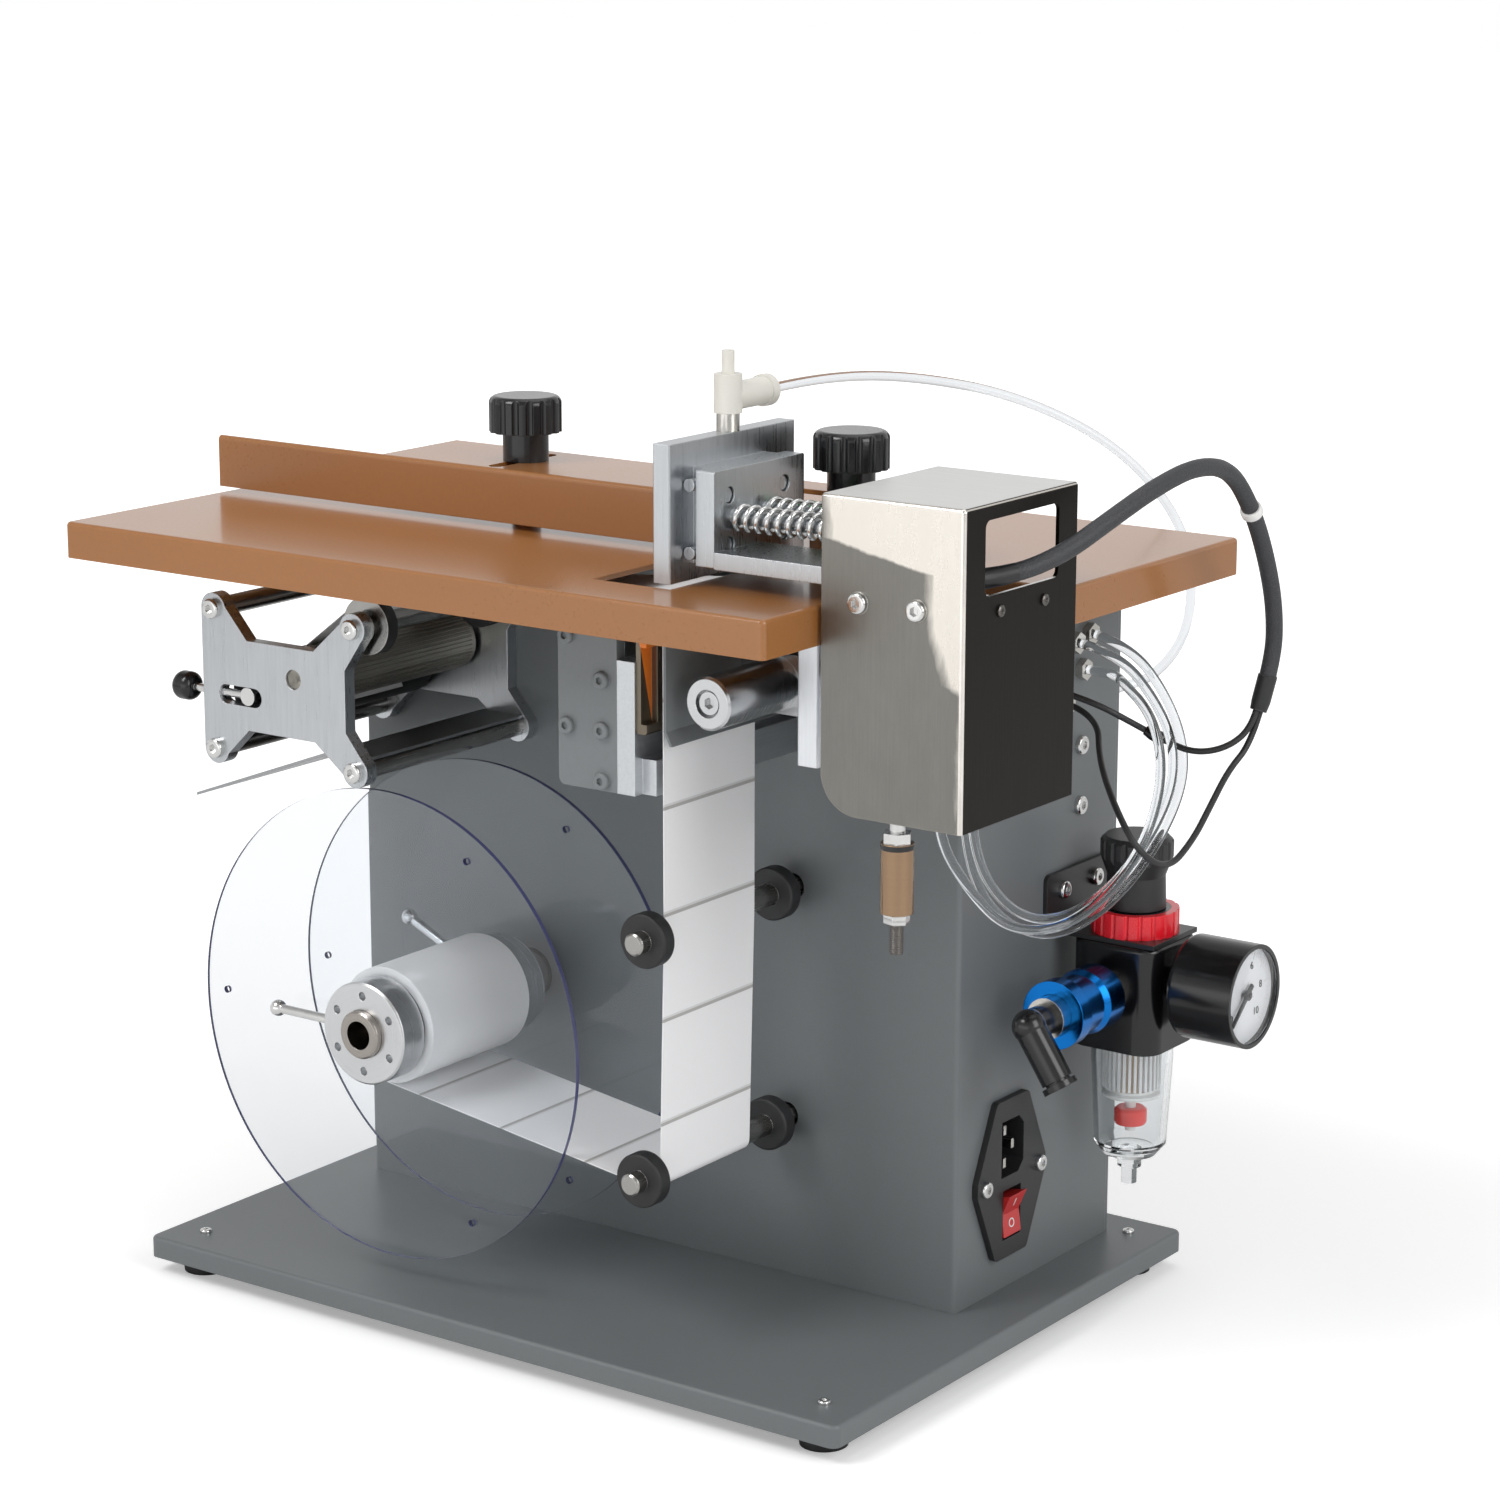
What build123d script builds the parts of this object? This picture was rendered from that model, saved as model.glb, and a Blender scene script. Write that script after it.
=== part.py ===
from build123d import *
import math
import os

# Bench-top flat labelling machine: a folded base tray, a sheet-metal column, a label reel and guides
# on its front, a feed unit at the left, a table with a sliding fence, a vacuum head in a steel cover
# at the right, and the air service unit and power inlet on the right side of the column.
# X runs right along the front, Y runs back, Z runs up from the surface it stands on.

# Running clearances
FIT = 0.1            # radial clearance of a shaft in its bore
GAP = 0.3            # clearance beside moving curved faces

# Base tray and feet
BASE_LENGTH = 355.0
BASE_DEPTH = 264.0
BASE_HEIGHT = 9.0
BASE_SHEET = 2.0
BASE_CORNER = 4.0
FOOT_DIAMETER = 22.0
FOOT_LIFT = 7.0
FOOT_INSET = 17.0
FOOT_SCREW = 3.0
SCREW_HEAD = 5.0
SCREW_HEAD_HEIGHT = 1.6

# Column
COLUMN_LEFT = 21.0
COLUMN_LENGTH = 308.0
COLUMN_FRONT = 123.0
COLUMN_DEPTH = 121.0
COLUMN_HEIGHT = 304.7
COLUMN_SHEET = 2.0
REAR_LIP = 14.0
LOUVRE_COUNT = 7
LOUVRE_LENGTH = 60.0
LOUVRE_PITCH = 10.0

# Table, fence and knobs
TABLE_LEFT = -28.0
TABLE_LENGTH = 409.0
TABLE_FRONT = -6.0
TABLE_DEPTH = 254.0
TABLE_SHEET = 2.0
TABLE_FLANGE = 15.0
TABLE_CORNER = 2.5
NOTCH_GAP = 2.0
NOTCH_DEPTH = 118.0
SLOT_LEFT = 225.0
SLOT_LENGTH = 37.0
SLOT_FRONT = 22.0
SLOT_DEPTH = 88.0
FENCE_LEFT = -29.0
FENCE_LENGTH = 347.0
FENCE_FRONT = 88.0
FENCE_RISE = 24.3
FENCE_SHEET = 2.0
FENCE_UNDERGAP = 2.3
FENCE_SHELF_INSET = 91.0
FENCE_SHELF_DEPTH = 50.0
FENCE_NOTCH_LEFT = 245.0
FENCE_NOTCH_LENGTH = 35.0
FENCE_NOTCH_DEPTH = 34.0
FENCE_SLOT_WIDTH = 6.4
FENCE_SLOT_LENGTH = 41.0
FENCE_BACK_TRAVEL = 16.0
FENCE_FRONT_TRAVEL = 1.5
FENCE_SLOT_SHIFT = 2.0
LEFT_KNOB_X = 119.6
KNOB_PITCH = 162.4
KNOB_Y = 113.5
KNOB_DIAMETER = 30.0
KNOB_HEAD_HEIGHT = 15.0
KNOB_NECK_DIAMETER = 19.0
KNOB_NECK_HEIGHT = 12.0
KNOB_FLUTES = 16
KNOB_STUD = 5.8
POST_DIAMETER = 12.0

# Reel
REEL_X = 113.0
REEL_Z = 123.5
SPINDLE_DIAMETER = 20.0
SPINDLE_BORE = 12.0
SPINDLE_FRONT = 9.0
DISC_DIAMETER = 198.0
DISC_SHEET = 2.0
WEB_FRONT = 29.0
WEB_WIDTH = 60.0
CORE_DIAMETER = 49.0
CORE_WALL = 4.5
DISC_HOLE = 3.0
DISC_HOLE_INSET = 11.0
COLLAR_DIAMETER = 43.0
COLLAR_LENGTH = 14.0
COLLAR_HOLES = 6
LEVER_ROD = 4.0
LEVER_LENGTH = 31.0
LEVER_BALL = 7.0
FAR_LEVER_ANGLE = 155.0
REEL_PULL_OFF = 60.0

# Guide rollers
GUIDE_DIAMETER = 9.0
GUIDE_FRONT = 15.5
LOWER_GUIDE_X = 246.0
LOWER_GUIDE_Z = 85.0
UPPER_GUIDE_X = 248.4
UPPER_GUIDE_Z = 183.0
GUIDE_COLLAR = 22.0
GUIDE_COLLAR_LENGTH = 7.0
GUIDE_COLLAR_FRONT = 21.5
GUIDE_COLLAR_REAR = 106.5
BEARING_DIAMETER = 26.0
BEARING_LENGTH = 12.0
WEB_SHEET = 0.3

# Feed unit
FEED_LEFT_X = 35.0
FEED_BOLT_LENGTH = 75.0
FEED_LOW_Z = 232.0
FEED_BOLT_HEIGHT = 58.5
FEED_PLATE = 6.0
FEED_PLATE_FRONT = 14.0
FEED_LOBE = 6.5
FEED_WAIST_INSET = 9.5
FEED_SPACER = 8.0
FEED_SCREW_HEAD = 8.5
FEED_SCREW_HEIGHT = 2.8
PAPER_COLLAR = 23.5
PAPER_COLLAR_LENGTH = 6.0
PAPER_COLLAR_FRONT = 22.5
PAPER_COLLAR_REAR = 92.0
DRIVE_X = 78.0
DRIVE_Z = 266.0
DRIVE_DIAMETER = 24.0
DRIVE_SHAFT = 8.0
DRIVE_GROOVES = 40
DRIVE_GROOVE_DEPTH = 0.4
MOTOR_SHAFT = 5.0
PINCH_Z = 255.5
PINCH_DIAMETER = 30.0
PINCH_AXLE = 6.0
PINCH_BUSH = 7.6
PINCH_SLOT_LEFT = 37.0
PINCH_SLOT_LENGTH = 23.5
PINCH_SLOT_WIDTH = 8.0
PINCH_TRAVEL = 8.0
NIP = 0.9
ROLLER_END_GAP = 2.0
RELEASE_ROD = 3.5
RELEASE_REACH = 12.0
RELEASE_KNOB = 12.0
RELEASE_KNOB_ROUND = 3.5
DEFLECTOR_SHEET = 1.2
DEFLECTOR_TIP_X = 17.0
DEFLECTOR_TIP_DROP = 28.0
MOTOR_SIZE = 42.3
MOTOR_LENGTH = 48.0

# Label peeling unit and web guide
PEEL_LEFT = 206.5
PEEL_PLATE_LENGTH = 28.5
PEEL_FRONT = 24.0
PEEL_PLATE = 5.0
PEEL_BOTTOM = 239.5
PEEL_BAR_LENGTH = 8.5
PEEL_BAR_TOP = 292.0
PEEL_STEP = 6.5
PEEL_STEP_HEIGHT = 14.0
PEEL_EDGE_X = 251.0
SENSOR_LENGTH = 5.0
SENSOR_DEPTH = 22.0
SENSOR_BOTTOM = 264.0
SENSOR_HEIGHT = 40.0
WEB_PLATE_X = 255.0
WEB_PLATE = 1.2
WEB_PLATE_FRONT = 27.0
WEB_PLATE_DEPTH = 79.0
WEB_PLATE_BOTTOM = 266.0
WEB_PLATE_HEIGHT = 50.0
WEB_PLATE_LIP = 5.5
STOP_POST_X = 273.5
STOP_POST_Z = 278.7
STOP_POST_DIAMETER = 21.0
STOP_POST_FRONT = 30.0
STOP_POST_LENGTH = 46.0
STOP_POST_RECESS = 11.0
POST_BLOCK_HEIGHT = 24.0

# Head carrier, slide and head
CARRIER_X = 294.0
CARRIER_PLATE = 9.5
CARRIER_FRONT = 60.0
CARRIER_BOTTOM = 252.0
CARRIER_HEIGHT = 66.0
RAIL_WIDTH = 12.0
RAIL_HEIGHT = 6.0
RAIL_Y = 88.0
SLIDER_WIDTH = 27.0
SLIDER_HEIGHT = 10.0
SLIDER_LENGTH = 26.0
SLIDER_GAP = 0.2
HEAD_LIFT = 20.0
FRAME_X = 331.0
FRAME_PLATE = 8.0
FRAME_FRONT = 29.5
FRAME_DEPTH = 74.5
FRAME_BOTTOM = 258.0
FRAME_HEIGHT = 100.0
LUG_LENGTH = 38.0
LUG_DEPTH = 10.0
LUG_BOTTOM = 318.0
LUG_HEIGHT = 16.0
COVER_LEFT = 327.0
COVER_LENGTH = 62.0
COVER_DEPTH = 78.0
COVER_BOTTOM = 245.0
COVER_HEIGHT = 120.0
COVER_SHEET = 1.5
COVER_CORNER = 16.0
COVER_WINDOW_FRONT = 42.0
COVER_WINDOW_DEPTH = 51.0
COVER_WINDOW_BOTTOM = 331.0
COVER_WINDOW_HEIGHT = 28.0
COVER_SCREW_X = 343.5
COVER_SCREW_PITCH = 25.5
COVER_SCREW_Z = 326.0

# Press group of the head
PRESS_TRAVEL = 2.0
VACUUM_X = 252.4
VACUUM_PLATE = 8.0
VACUUM_FRONT = 24.0
VACUUM_DEPTH = 82.0
VACUUM_BOTTOM = 324.0
VACUUM_HEIGHT = 53.0
VACUUM_HOLE = 2.5
VACUUM_ROWS = 4
VACUUM_COLUMNS = 7
PRESS_SPACER = 5.6
PRESS_PLATE = 8.5
PRESS_FRONT = 33.0
PRESS_DEPTH = 59.0
PRESS_BOTTOM = 330.0
PRESS_HEIGHT = 37.0
ROD_DIAMETER = 5.5
ROD_FRONT = 46.0
ROD_PITCH = 21.0
ROD_Z = 348.5
ROD_OVERRUN = 13.0
SPRING_DIAMETER = 11.0
SPRING_WIRE = 2.2
SPRING_PITCH = 4.9
FLAG_REACH = 49.0
FLAG_FRONT = 33.0
FLAG_DEPTH = 30.0
FLAG_HEIGHT = 6.5
BOARD_FRONT = 75.0
BOARD_DEPTH = 11.0
BOARD_BOTTOM = 344.0
BOARD_HEIGHT = 6.0
BOARD_REACH = 49.0

# Cylinder under the cover
CYLINDER_X = 353.0
CYLINDER_Y = 41.0
CYLINDER_SIZE = 22.0
CYLINDER_HEIGHT = 68.0
CYLINDER_ROD = 6.0
CYLINDER_STROKE = 12.0
BARREL_DIAMETER = 12.7
BARREL_HEIGHT = 27.0
BARREL_DROP = 10.5
CYLINDER_NUT = 10.0
STUD_DIAMETER = 5.0
STUD_LENGTH = 16.0

# Air service unit
AIR_X = 357.0
AIR_Y = 213.0
BODY_SIZE = 40.0
BODY_BOTTOM = 115.0
BODY_HEIGHT = 45.0
BODY_CORNER = 9.0
NECK_DIAMETER = 29.0
BRACKET_SHEET = 2.0
BRACKET_LENGTH = 50.0
BRACKET_HEIGHT = 26.0
BRACKET_SCREW_PITCH = 26.0
RING_DIAMETER = 36.0
RING_HEIGHT = 10.0
CAP_DIAMETER = 30.0
CAP_HEIGHT = 30.0
CAP_LIFT = 2.0
BOWL_DIAMETER = 34.0
BOWL_FOOT = 30.0
BOWL_HEIGHT = 49.0
BOWL_WALL = 2.0
ELEMENT_DIAMETER = 20.0
ELEMENT_HEIGHT = 20.0
DRAIN_DIAMETER = 10.0
DRAIN_HEIGHT = 13.0
GAUGE_Z = 143.0
GAUGE_DIAMETER = 43.0
GAUGE_LENGTH = 30.0
GAUGE_STEM = 6.0
GAUGE_STEM_DIAMETER = 12.0
GAUGE_RIM = 1.8
GAUGE_DIAL_DEPTH = 4.5
NEEDLE_LENGTH = 17.0
VALVE_Z = 141.0
VALVE_CORE = 17.0
VALVE_LENGTH = 50.0
VALVE_BORE = 9.0
SLEEVE_DIAMETER = 24.0
SLEEVE_RIM = 28.0
SLEEVE_LENGTH = 34.0
SLEEVE_FRONT = 149.0
SLEEVE_TRAVEL = 8.0
NUT_DIAMETER = 15.0
NUT_LENGTH = 5.0
ELBOW_DIAMETER = 13.0
ELBOW_REACH = 12.0
ELBOW_MOUTH = 24.0
ELBOW_BORE = 8.0
ELBOW_TILT = 34.0

# Power inlet
INLET_Y = 161.0
INLET_Z = 65.0
INLET_HEIGHT = 68.0
INLET_WIDTH = 52.0
INLET_FLANGE = 3.0
INLET_BODY_DEPTH = 28.0
INLET_BODY_WIDTH = 25.0
INLET_BODY_HEIGHT = 56.0
INLET_SCREW_PITCH = 41.7
SOCKET_RISE = 13.0
SOCKET_WIDTH = 17.0
SOCKET_HEIGHT = 24.0
SOCKET_DEPTH = 17.0
ROCKER_DROP = 15.5
ROCKER_WIDTH = 13.0
ROCKER_HEIGHT = 19.0
ROCKER_SWING = 10.0
ROCKER_PIN = 2.4
ROCKER_PIN_REACH = 1.2

# Cords
TUBE_DIAMETER = 4.0
CABLE_DIAMETER = 7.0
THIN_DIAMETER = 2.6
PORT_DIAMETER = 8.0
PORT_STUB = 7.0
PORT_DROP = 6.0
GLAND_WALL = 1.0
GLAND_LENGTH = 6.0
GLAND_FOOT = 6.0
CORD_END_REACH = 4.0
CORD_END_GAP = 0.6
TUBE_NUT = 8.0
THIN_NUT = 6.0

# Levels and faces that follow from the sizes above
BASE_TOP = FOOT_LIFT + BASE_HEIGHT
TABLE_UNDER = BASE_TOP + COLUMN_HEIGHT
TABLE_TOP = TABLE_UNDER + TABLE_SHEET
COLUMN_RIGHT = COLUMN_LEFT + COLUMN_LENGTH
COLUMN_REAR = COLUMN_FRONT + COLUMN_DEPTH
WALL_BACK = COLUMN_FRONT + COLUMN_SHEET
FENCE_TOP = TABLE_TOP + FENCE_RISE
WEB_REAR = WEB_FRONT + WEB_WIDTH
DISC_REAR = WEB_REAR + 1.0
DISC_NEAR = WEB_FRONT - 1.0
FEED_RIGHT_X = FEED_LEFT_X + FEED_BOLT_LENGTH
FEED_HIGH_Z = FEED_LOW_Z + FEED_BOLT_HEIGHT
FEED_INNER = FEED_PLATE_FRONT + FEED_PLATE
FEED_REAR = COLUMN_FRONT - FEED_PLATE
NIP_DISTANCE = (DRIVE_DIAMETER + PINCH_DIAMETER) / 2 + NIP
NIP_RISE = DRIVE_Z - PINCH_Z
PINCH_X = DRIVE_X - math.sqrt(NIP_DISTANCE ** 2 - NIP_RISE ** 2)
NIP_ANGLE = math.degrees(math.atan2(NIP_RISE, DRIVE_X - PINCH_X))
PEEL_PLATE_RIGHT = PEEL_LEFT + PEEL_PLATE_LENGTH
PEEL_BAR_RIGHT = PEEL_PLATE_RIGHT + PEEL_BAR_LENGTH
CARRIER_RIGHT = CARRIER_X + CARRIER_PLATE
FRAME_RIGHT = FRAME_X + FRAME_PLATE
COVER_RIGHT = COVER_LEFT + COVER_LENGTH
VACUUM_RIGHT = VACUUM_X + VACUUM_PLATE
PRESS_LEFT = VACUUM_RIGHT + PRESS_SPACER
PRESS_RIGHT = PRESS_LEFT + PRESS_PLATE
BODY_TOP = BODY_BOTTOM + BODY_HEIGHT
SHELF_TOP = BODY_TOP + BRACKET_SHEET
RING_TOP = SHELF_TOP + RING_HEIGHT
BODY_FRONT = AIR_Y - BODY_SIZE / 2
BODY_RIGHT = AIR_X + BODY_SIZE / 2
VALVE_FRONT = BODY_FRONT - VALVE_LENGTH
GAUGE_LEFT = BODY_RIGHT + GAUGE_STEM
GAUGE_RIGHT = GAUGE_LEFT + GAUGE_LENGTH

AXES = {"X": (1, 0, 0), "-X": (-1, 0, 0), "Y": (0, 1, 0), "-Y": (0, -1, 0), "Z": (0, 0, 1), "-Z": (0, 0, -1)}
nodes = {}


def block(x0, x1, y0, y1, z0, z1):
    return Pos((x0 + x1) / 2, (y0 + y1) / 2, (z0 + z1) / 2) * Box(x1 - x0, y1 - y0, z1 - z0)


def bar(point, axis, diameter, length):
    plane = Plane(origin=point, z_dir=AXES[axis])
    return plane * Cylinder(diameter / 2, length, align=(Align.CENTER, Align.CENTER, Align.MIN))


def tube(point, axis, outside, inside, length):
    return bar(point, axis, outside, length) - bar(point, axis, inside, length)


def hex_bar(point, axis, across, length):
    plane = Plane(origin=point, z_dir=AXES[axis])
    return extrude(plane * RegularPolygon(across / 2, 6, major_radius=False), length)


def pan_screw(point, axis, head, height, shank, length):
    # The head stands on the point and the shank runs back into the work.
    back = {"X": "-X", "-X": "X", "Y": "-Y", "-Y": "Y", "Z": "-Z", "-Z": "Z"}[axis]
    cap = bar(point, axis, head, height)
    cap = fillet(cap.edges().filter_by(GeomType.CIRCLE).sort_by(Axis(point, AXES[axis]))[-1], height * 0.45)
    tip = tuple(p + a * height for p, a in zip(point, AXES[axis]))
    recess = hex_bar(tip, back, head * 0.4, height * 0.55)
    return cap - recess + bar(point, back, shank, length)


def around(place, pattern, shape):
    # Copies of a shape on a pattern, all moved to one place.
    return [place * copy for copy in pattern * shape]


def profile(points, y0, y1):
    # A closed outline drawn in X and Z and run along Y.
    face = Plane.XZ * make_face(Polyline(*points, close=True))
    return Pos(0, y1, 0) * extrude(face, y1 - y0)


def rounded_slot(centre, axis_length, width, y0, y1):
    face = Plane.XZ * (Pos(*centre) * SlotOverall(axis_length, width))
    return Pos(0, y1, 0) * extrude(face, y1 - y0)


# Base tray, open underneath, with a rubber foot in each corner
tray = block(0, BASE_LENGTH, 0, BASE_DEPTH, FOOT_LIFT, BASE_TOP)
tray = fillet(tray.edges().filter_by(Axis.Z), BASE_CORNER)
tray = fillet(tray.edges().group_by(Axis.Z)[-1], BASE_SHEET * 0.8)
inside = block(BASE_SHEET, BASE_LENGTH - BASE_SHEET, BASE_SHEET, BASE_DEPTH - BASE_SHEET,
               FOOT_LIFT, BASE_TOP - BASE_SHEET)
tray -= inside
foot_points = [(x, y) for x in (FOOT_INSET, BASE_LENGTH - FOOT_INSET)
               for y in (FOOT_INSET, BASE_DEPTH - FOOT_INSET)]
feet = []
screws = []
FOOT_HEIGHT = BASE_TOP - BASE_SHEET
for x, y in foot_points:
    tray -= bar((x, y, FOOT_LIFT), "Z", FOOT_SCREW + 2 * FIT, BASE_HEIGHT)
    foot = Pos(x, y, 0) * Cone(FOOT_DIAMETER / 2 - 1.5, FOOT_DIAMETER / 2, FOOT_HEIGHT,
                               align=(Align.CENTER, Align.CENTER, Align.MIN))
    foot -= bar((x, y, FOOT_HEIGHT / 3), "Z", FOOT_SCREW + 2 * FIT, FOOT_HEIGHT)
    feet.append(foot)
    screws.append(pan_screw((x, y, BASE_TOP), "Z", SCREW_HEAD, SCREW_HEAD_HEIGHT, FOOT_SCREW,
                            BASE_SHEET + FOOT_HEIGHT / 2))
nodes["base_tray"] = tray
nodes["feet"] = Compound(children=feet)

# Column: a folded sheet cabinet, open at the back behind a louvred panel
cabinet = block(COLUMN_LEFT, COLUMN_RIGHT, COLUMN_FRONT, COLUMN_REAR - COLUMN_SHEET, BASE_TOP, TABLE_UNDER)
cabinet = fillet(cabinet.edges().filter_by(Axis.Z).group_by(Axis.Y)[0], COLUMN_SHEET)
cabinet -= block(COLUMN_LEFT + COLUMN_SHEET, COLUMN_RIGHT - COLUMN_SHEET, WALL_BACK,
                 COLUMN_REAR - 2 * COLUMN_SHEET, BASE_TOP + COLUMN_SHEET, TABLE_UNDER - COLUMN_SHEET)
cabinet -= block(COLUMN_LEFT + REAR_LIP, COLUMN_RIGHT - REAR_LIP, WALL_BACK, COLUMN_REAR,
                 BASE_TOP + REAR_LIP, TABLE_UNDER - REAR_LIP)
cabinet -= bar((REEL_X, COLUMN_FRONT, REEL_Z), "Y", SPINDLE_DIAMETER + 2, COLUMN_SHEET)
for x, z in ((LOWER_GUIDE_X, LOWER_GUIDE_Z), (UPPER_GUIDE_X, UPPER_GUIDE_Z)):
    cabinet -= bar((x, COLUMN_FRONT, z), "Y", GUIDE_DIAMETER + 2, COLUMN_SHEET)
cabinet -= bar((DRIVE_X, COLUMN_FRONT, DRIVE_Z), "Y", DRIVE_SHAFT + 2, COLUMN_SHEET)
inlet_hole_half = INLET_BODY_WIDTH / 2 + 0.5
cabinet -= block(COLUMN_RIGHT - COLUMN_SHEET, COLUMN_RIGHT, INLET_Y - inlet_hole_half, INLET_Y + inlet_hole_half,
                 INLET_Z - INLET_BODY_HEIGHT / 2 - 0.5, INLET_Z + INLET_BODY_HEIGHT / 2 + 0.5)
panel = block(COLUMN_LEFT, COLUMN_RIGHT, COLUMN_REAR - COLUMN_SHEET, COLUMN_REAR, BASE_TOP, TABLE_UNDER)
column_middle = (COLUMN_LEFT + COLUMN_RIGHT) / 2
for row in range(LOUVRE_COUNT):
    level = BASE_TOP + COLUMN_HEIGHT / 4 + row * LOUVRE_PITCH
    slit = Pos(column_middle, level) * SlotOverall(LOUVRE_LENGTH, 3)
    panel -= Pos(0, COLUMN_REAR, 0) * extrude(Plane.XZ * slit, COLUMN_SHEET)
for x in (COLUMN_LEFT + REAR_LIP / 2, COLUMN_RIGHT - REAR_LIP / 2):
    for z in (BASE_TOP + REAR_LIP / 2, (BASE_TOP + TABLE_UNDER) / 2, TABLE_UNDER - REAR_LIP / 2):
        hole = bar((x, COLUMN_REAR, z), "-Y", 3 + 2 * FIT, 2 * COLUMN_SHEET)
        cabinet -= hole
        panel -= hole
        screws.append(pan_screw((x, COLUMN_REAR, z), "Y", 6, 2, 3, 2 * COLUMN_SHEET))
side_screws = [(AIR_Y, TABLE_UNDER - 84.7), (AIR_Y, TABLE_UNDER - 110.1)]
for y, z in side_screws:
    cabinet -= bar((COLUMN_RIGHT, y, z), "-X", 4 + 2 * FIT, COLUMN_SHEET)
    screws.append(pan_screw((COLUMN_RIGHT, y, z), "X", 8, 2.4, 4, 2 * COLUMN_SHEET))

# Table: a folded sheet with a skirt, a notch for the head and the slot the labels come up through
TABLE_RIGHT = TABLE_LEFT + TABLE_LENGTH
TABLE_REAR = TABLE_FRONT + TABLE_DEPTH
NOTCH_X = COVER_LEFT - NOTCH_GAP
NOTCH_RIGHT = max(TABLE_RIGHT, COVER_RIGHT) + NOTCH_GAP
NOTCH_Y = TABLE_FRONT + NOTCH_DEPTH
SKIRT_Z = TABLE_TOP - TABLE_FLANGE
table = block(TABLE_LEFT, TABLE_RIGHT, TABLE_FRONT, TABLE_REAR, SKIRT_Z, TABLE_TOP)
table -= block(NOTCH_X, NOTCH_RIGHT, TABLE_FRONT, NOTCH_Y, SKIRT_Z, TABLE_TOP)
table = fillet(table.edges().filter_by(Axis.Z), TABLE_CORNER)
table = fillet(table.edges().group_by(Axis.Z)[-1], TABLE_SHEET * 0.8)
hollow = block(TABLE_LEFT + TABLE_SHEET, TABLE_RIGHT - TABLE_SHEET, TABLE_FRONT + TABLE_SHEET,
               TABLE_REAR - TABLE_SHEET, SKIRT_Z, TABLE_UNDER)
hollow -= block(NOTCH_X - TABLE_SHEET, NOTCH_RIGHT, TABLE_FRONT, NOTCH_Y + TABLE_SHEET, SKIRT_Z, TABLE_TOP)
table -= hollow
table -= block(SLOT_LEFT, SLOT_LEFT + SLOT_LENGTH, SLOT_FRONT, SLOT_FRONT + SLOT_DEPTH, TABLE_UNDER, TABLE_TOP)
knob_points = [(LEFT_KNOB_X + i * KNOB_PITCH, KNOB_Y) for i in range(2)]
post_height = FENCE_TOP - FENCE_SHEET - TABLE_TOP
posts = []
for x, y in knob_points:
    post = bar((x, y, TABLE_TOP), "Z", POST_DIAMETER, post_height)
    post -= bar((x, y, TABLE_TOP), "Z", KNOB_STUD + 2 * FIT, post_height)
    posts.append(post)
nodes["table_top"] = Compound(children=[table] + posts)

# Fence: an angle with its face hanging over the table and its shelf clamped on two posts
fence = block(FENCE_LEFT, FENCE_LEFT + FENCE_LENGTH, FENCE_FRONT, FENCE_FRONT + FENCE_SHELF_DEPTH,
              TABLE_TOP + FENCE_UNDERGAP, FENCE_TOP)
fence = fillet(fence.edges().filter_by(Axis.X).group_by(Axis.Z)[-1].group_by(Axis.Y)[0], FENCE_SHEET)
fence -= block(FENCE_LEFT, FENCE_LEFT + FENCE_LENGTH, FENCE_FRONT + FENCE_SHEET,
               FENCE_FRONT + FENCE_SHELF_DEPTH, TABLE_TOP + FENCE_UNDERGAP, FENCE_TOP - FENCE_SHEET)
fence -= block(FENCE_LEFT, FENCE_LEFT + FENCE_SHELF_INSET, FENCE_FRONT + FENCE_SHEET,
               FENCE_FRONT + FENCE_SHELF_DEPTH, TABLE_TOP, FENCE_TOP)
fence -= block(FENCE_NOTCH_LEFT, FENCE_NOTCH_LEFT + FENCE_NOTCH_LENGTH, FENCE_FRONT,
               FENCE_FRONT + FENCE_NOTCH_DEPTH, TABLE_TOP, FENCE_TOP)
slot_middle = KNOB_Y - FENCE_SLOT_SHIFT
for x, y in knob_points:
    slot = Pos(x, slot_middle, TABLE_TOP) * Rot(0, 0, 90) * SlotOverall(FENCE_SLOT_LENGTH, FENCE_SLOT_WIDTH)
    fence -= extrude(slot, FENCE_RISE)
nodes["fence"] = fence

# Fluted clamp knobs with their studs
for name, (x, y) in zip(("left_knob", "right_knob"), knob_points):
    neck = bar((x, y, FENCE_TOP), "Z", KNOB_NECK_DIAMETER, KNOB_NECK_HEIGHT)
    head = bar((x, y, FENCE_TOP + KNOB_NECK_HEIGHT), "Z", KNOB_DIAMETER, KNOB_HEAD_HEIGHT)
    rims = head.edges().filter_by(GeomType.CIRCLE).sort_by(Axis.Z)
    head = fillet(rims[-1], 3)
    flutes = PolarLocations(KNOB_DIAMETER / 2 + 0.6, KNOB_FLUTES)
    flute = Cylinder(1.7, KNOB_HEAD_HEIGHT * 2)
    head -= around(Pos(x, y, FENCE_TOP + KNOB_NECK_HEIGHT + KNOB_HEAD_HEIGHT / 2), flutes, flute)
    stud = bar((x, y, FENCE_TOP), "-Z", KNOB_STUD, FENCE_SHEET + 14)
    nodes[name] = neck + head + stud

# Feed unit: two waisted plates on four spacers, a knurled drive roller and a sprung pinch roller


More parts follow.
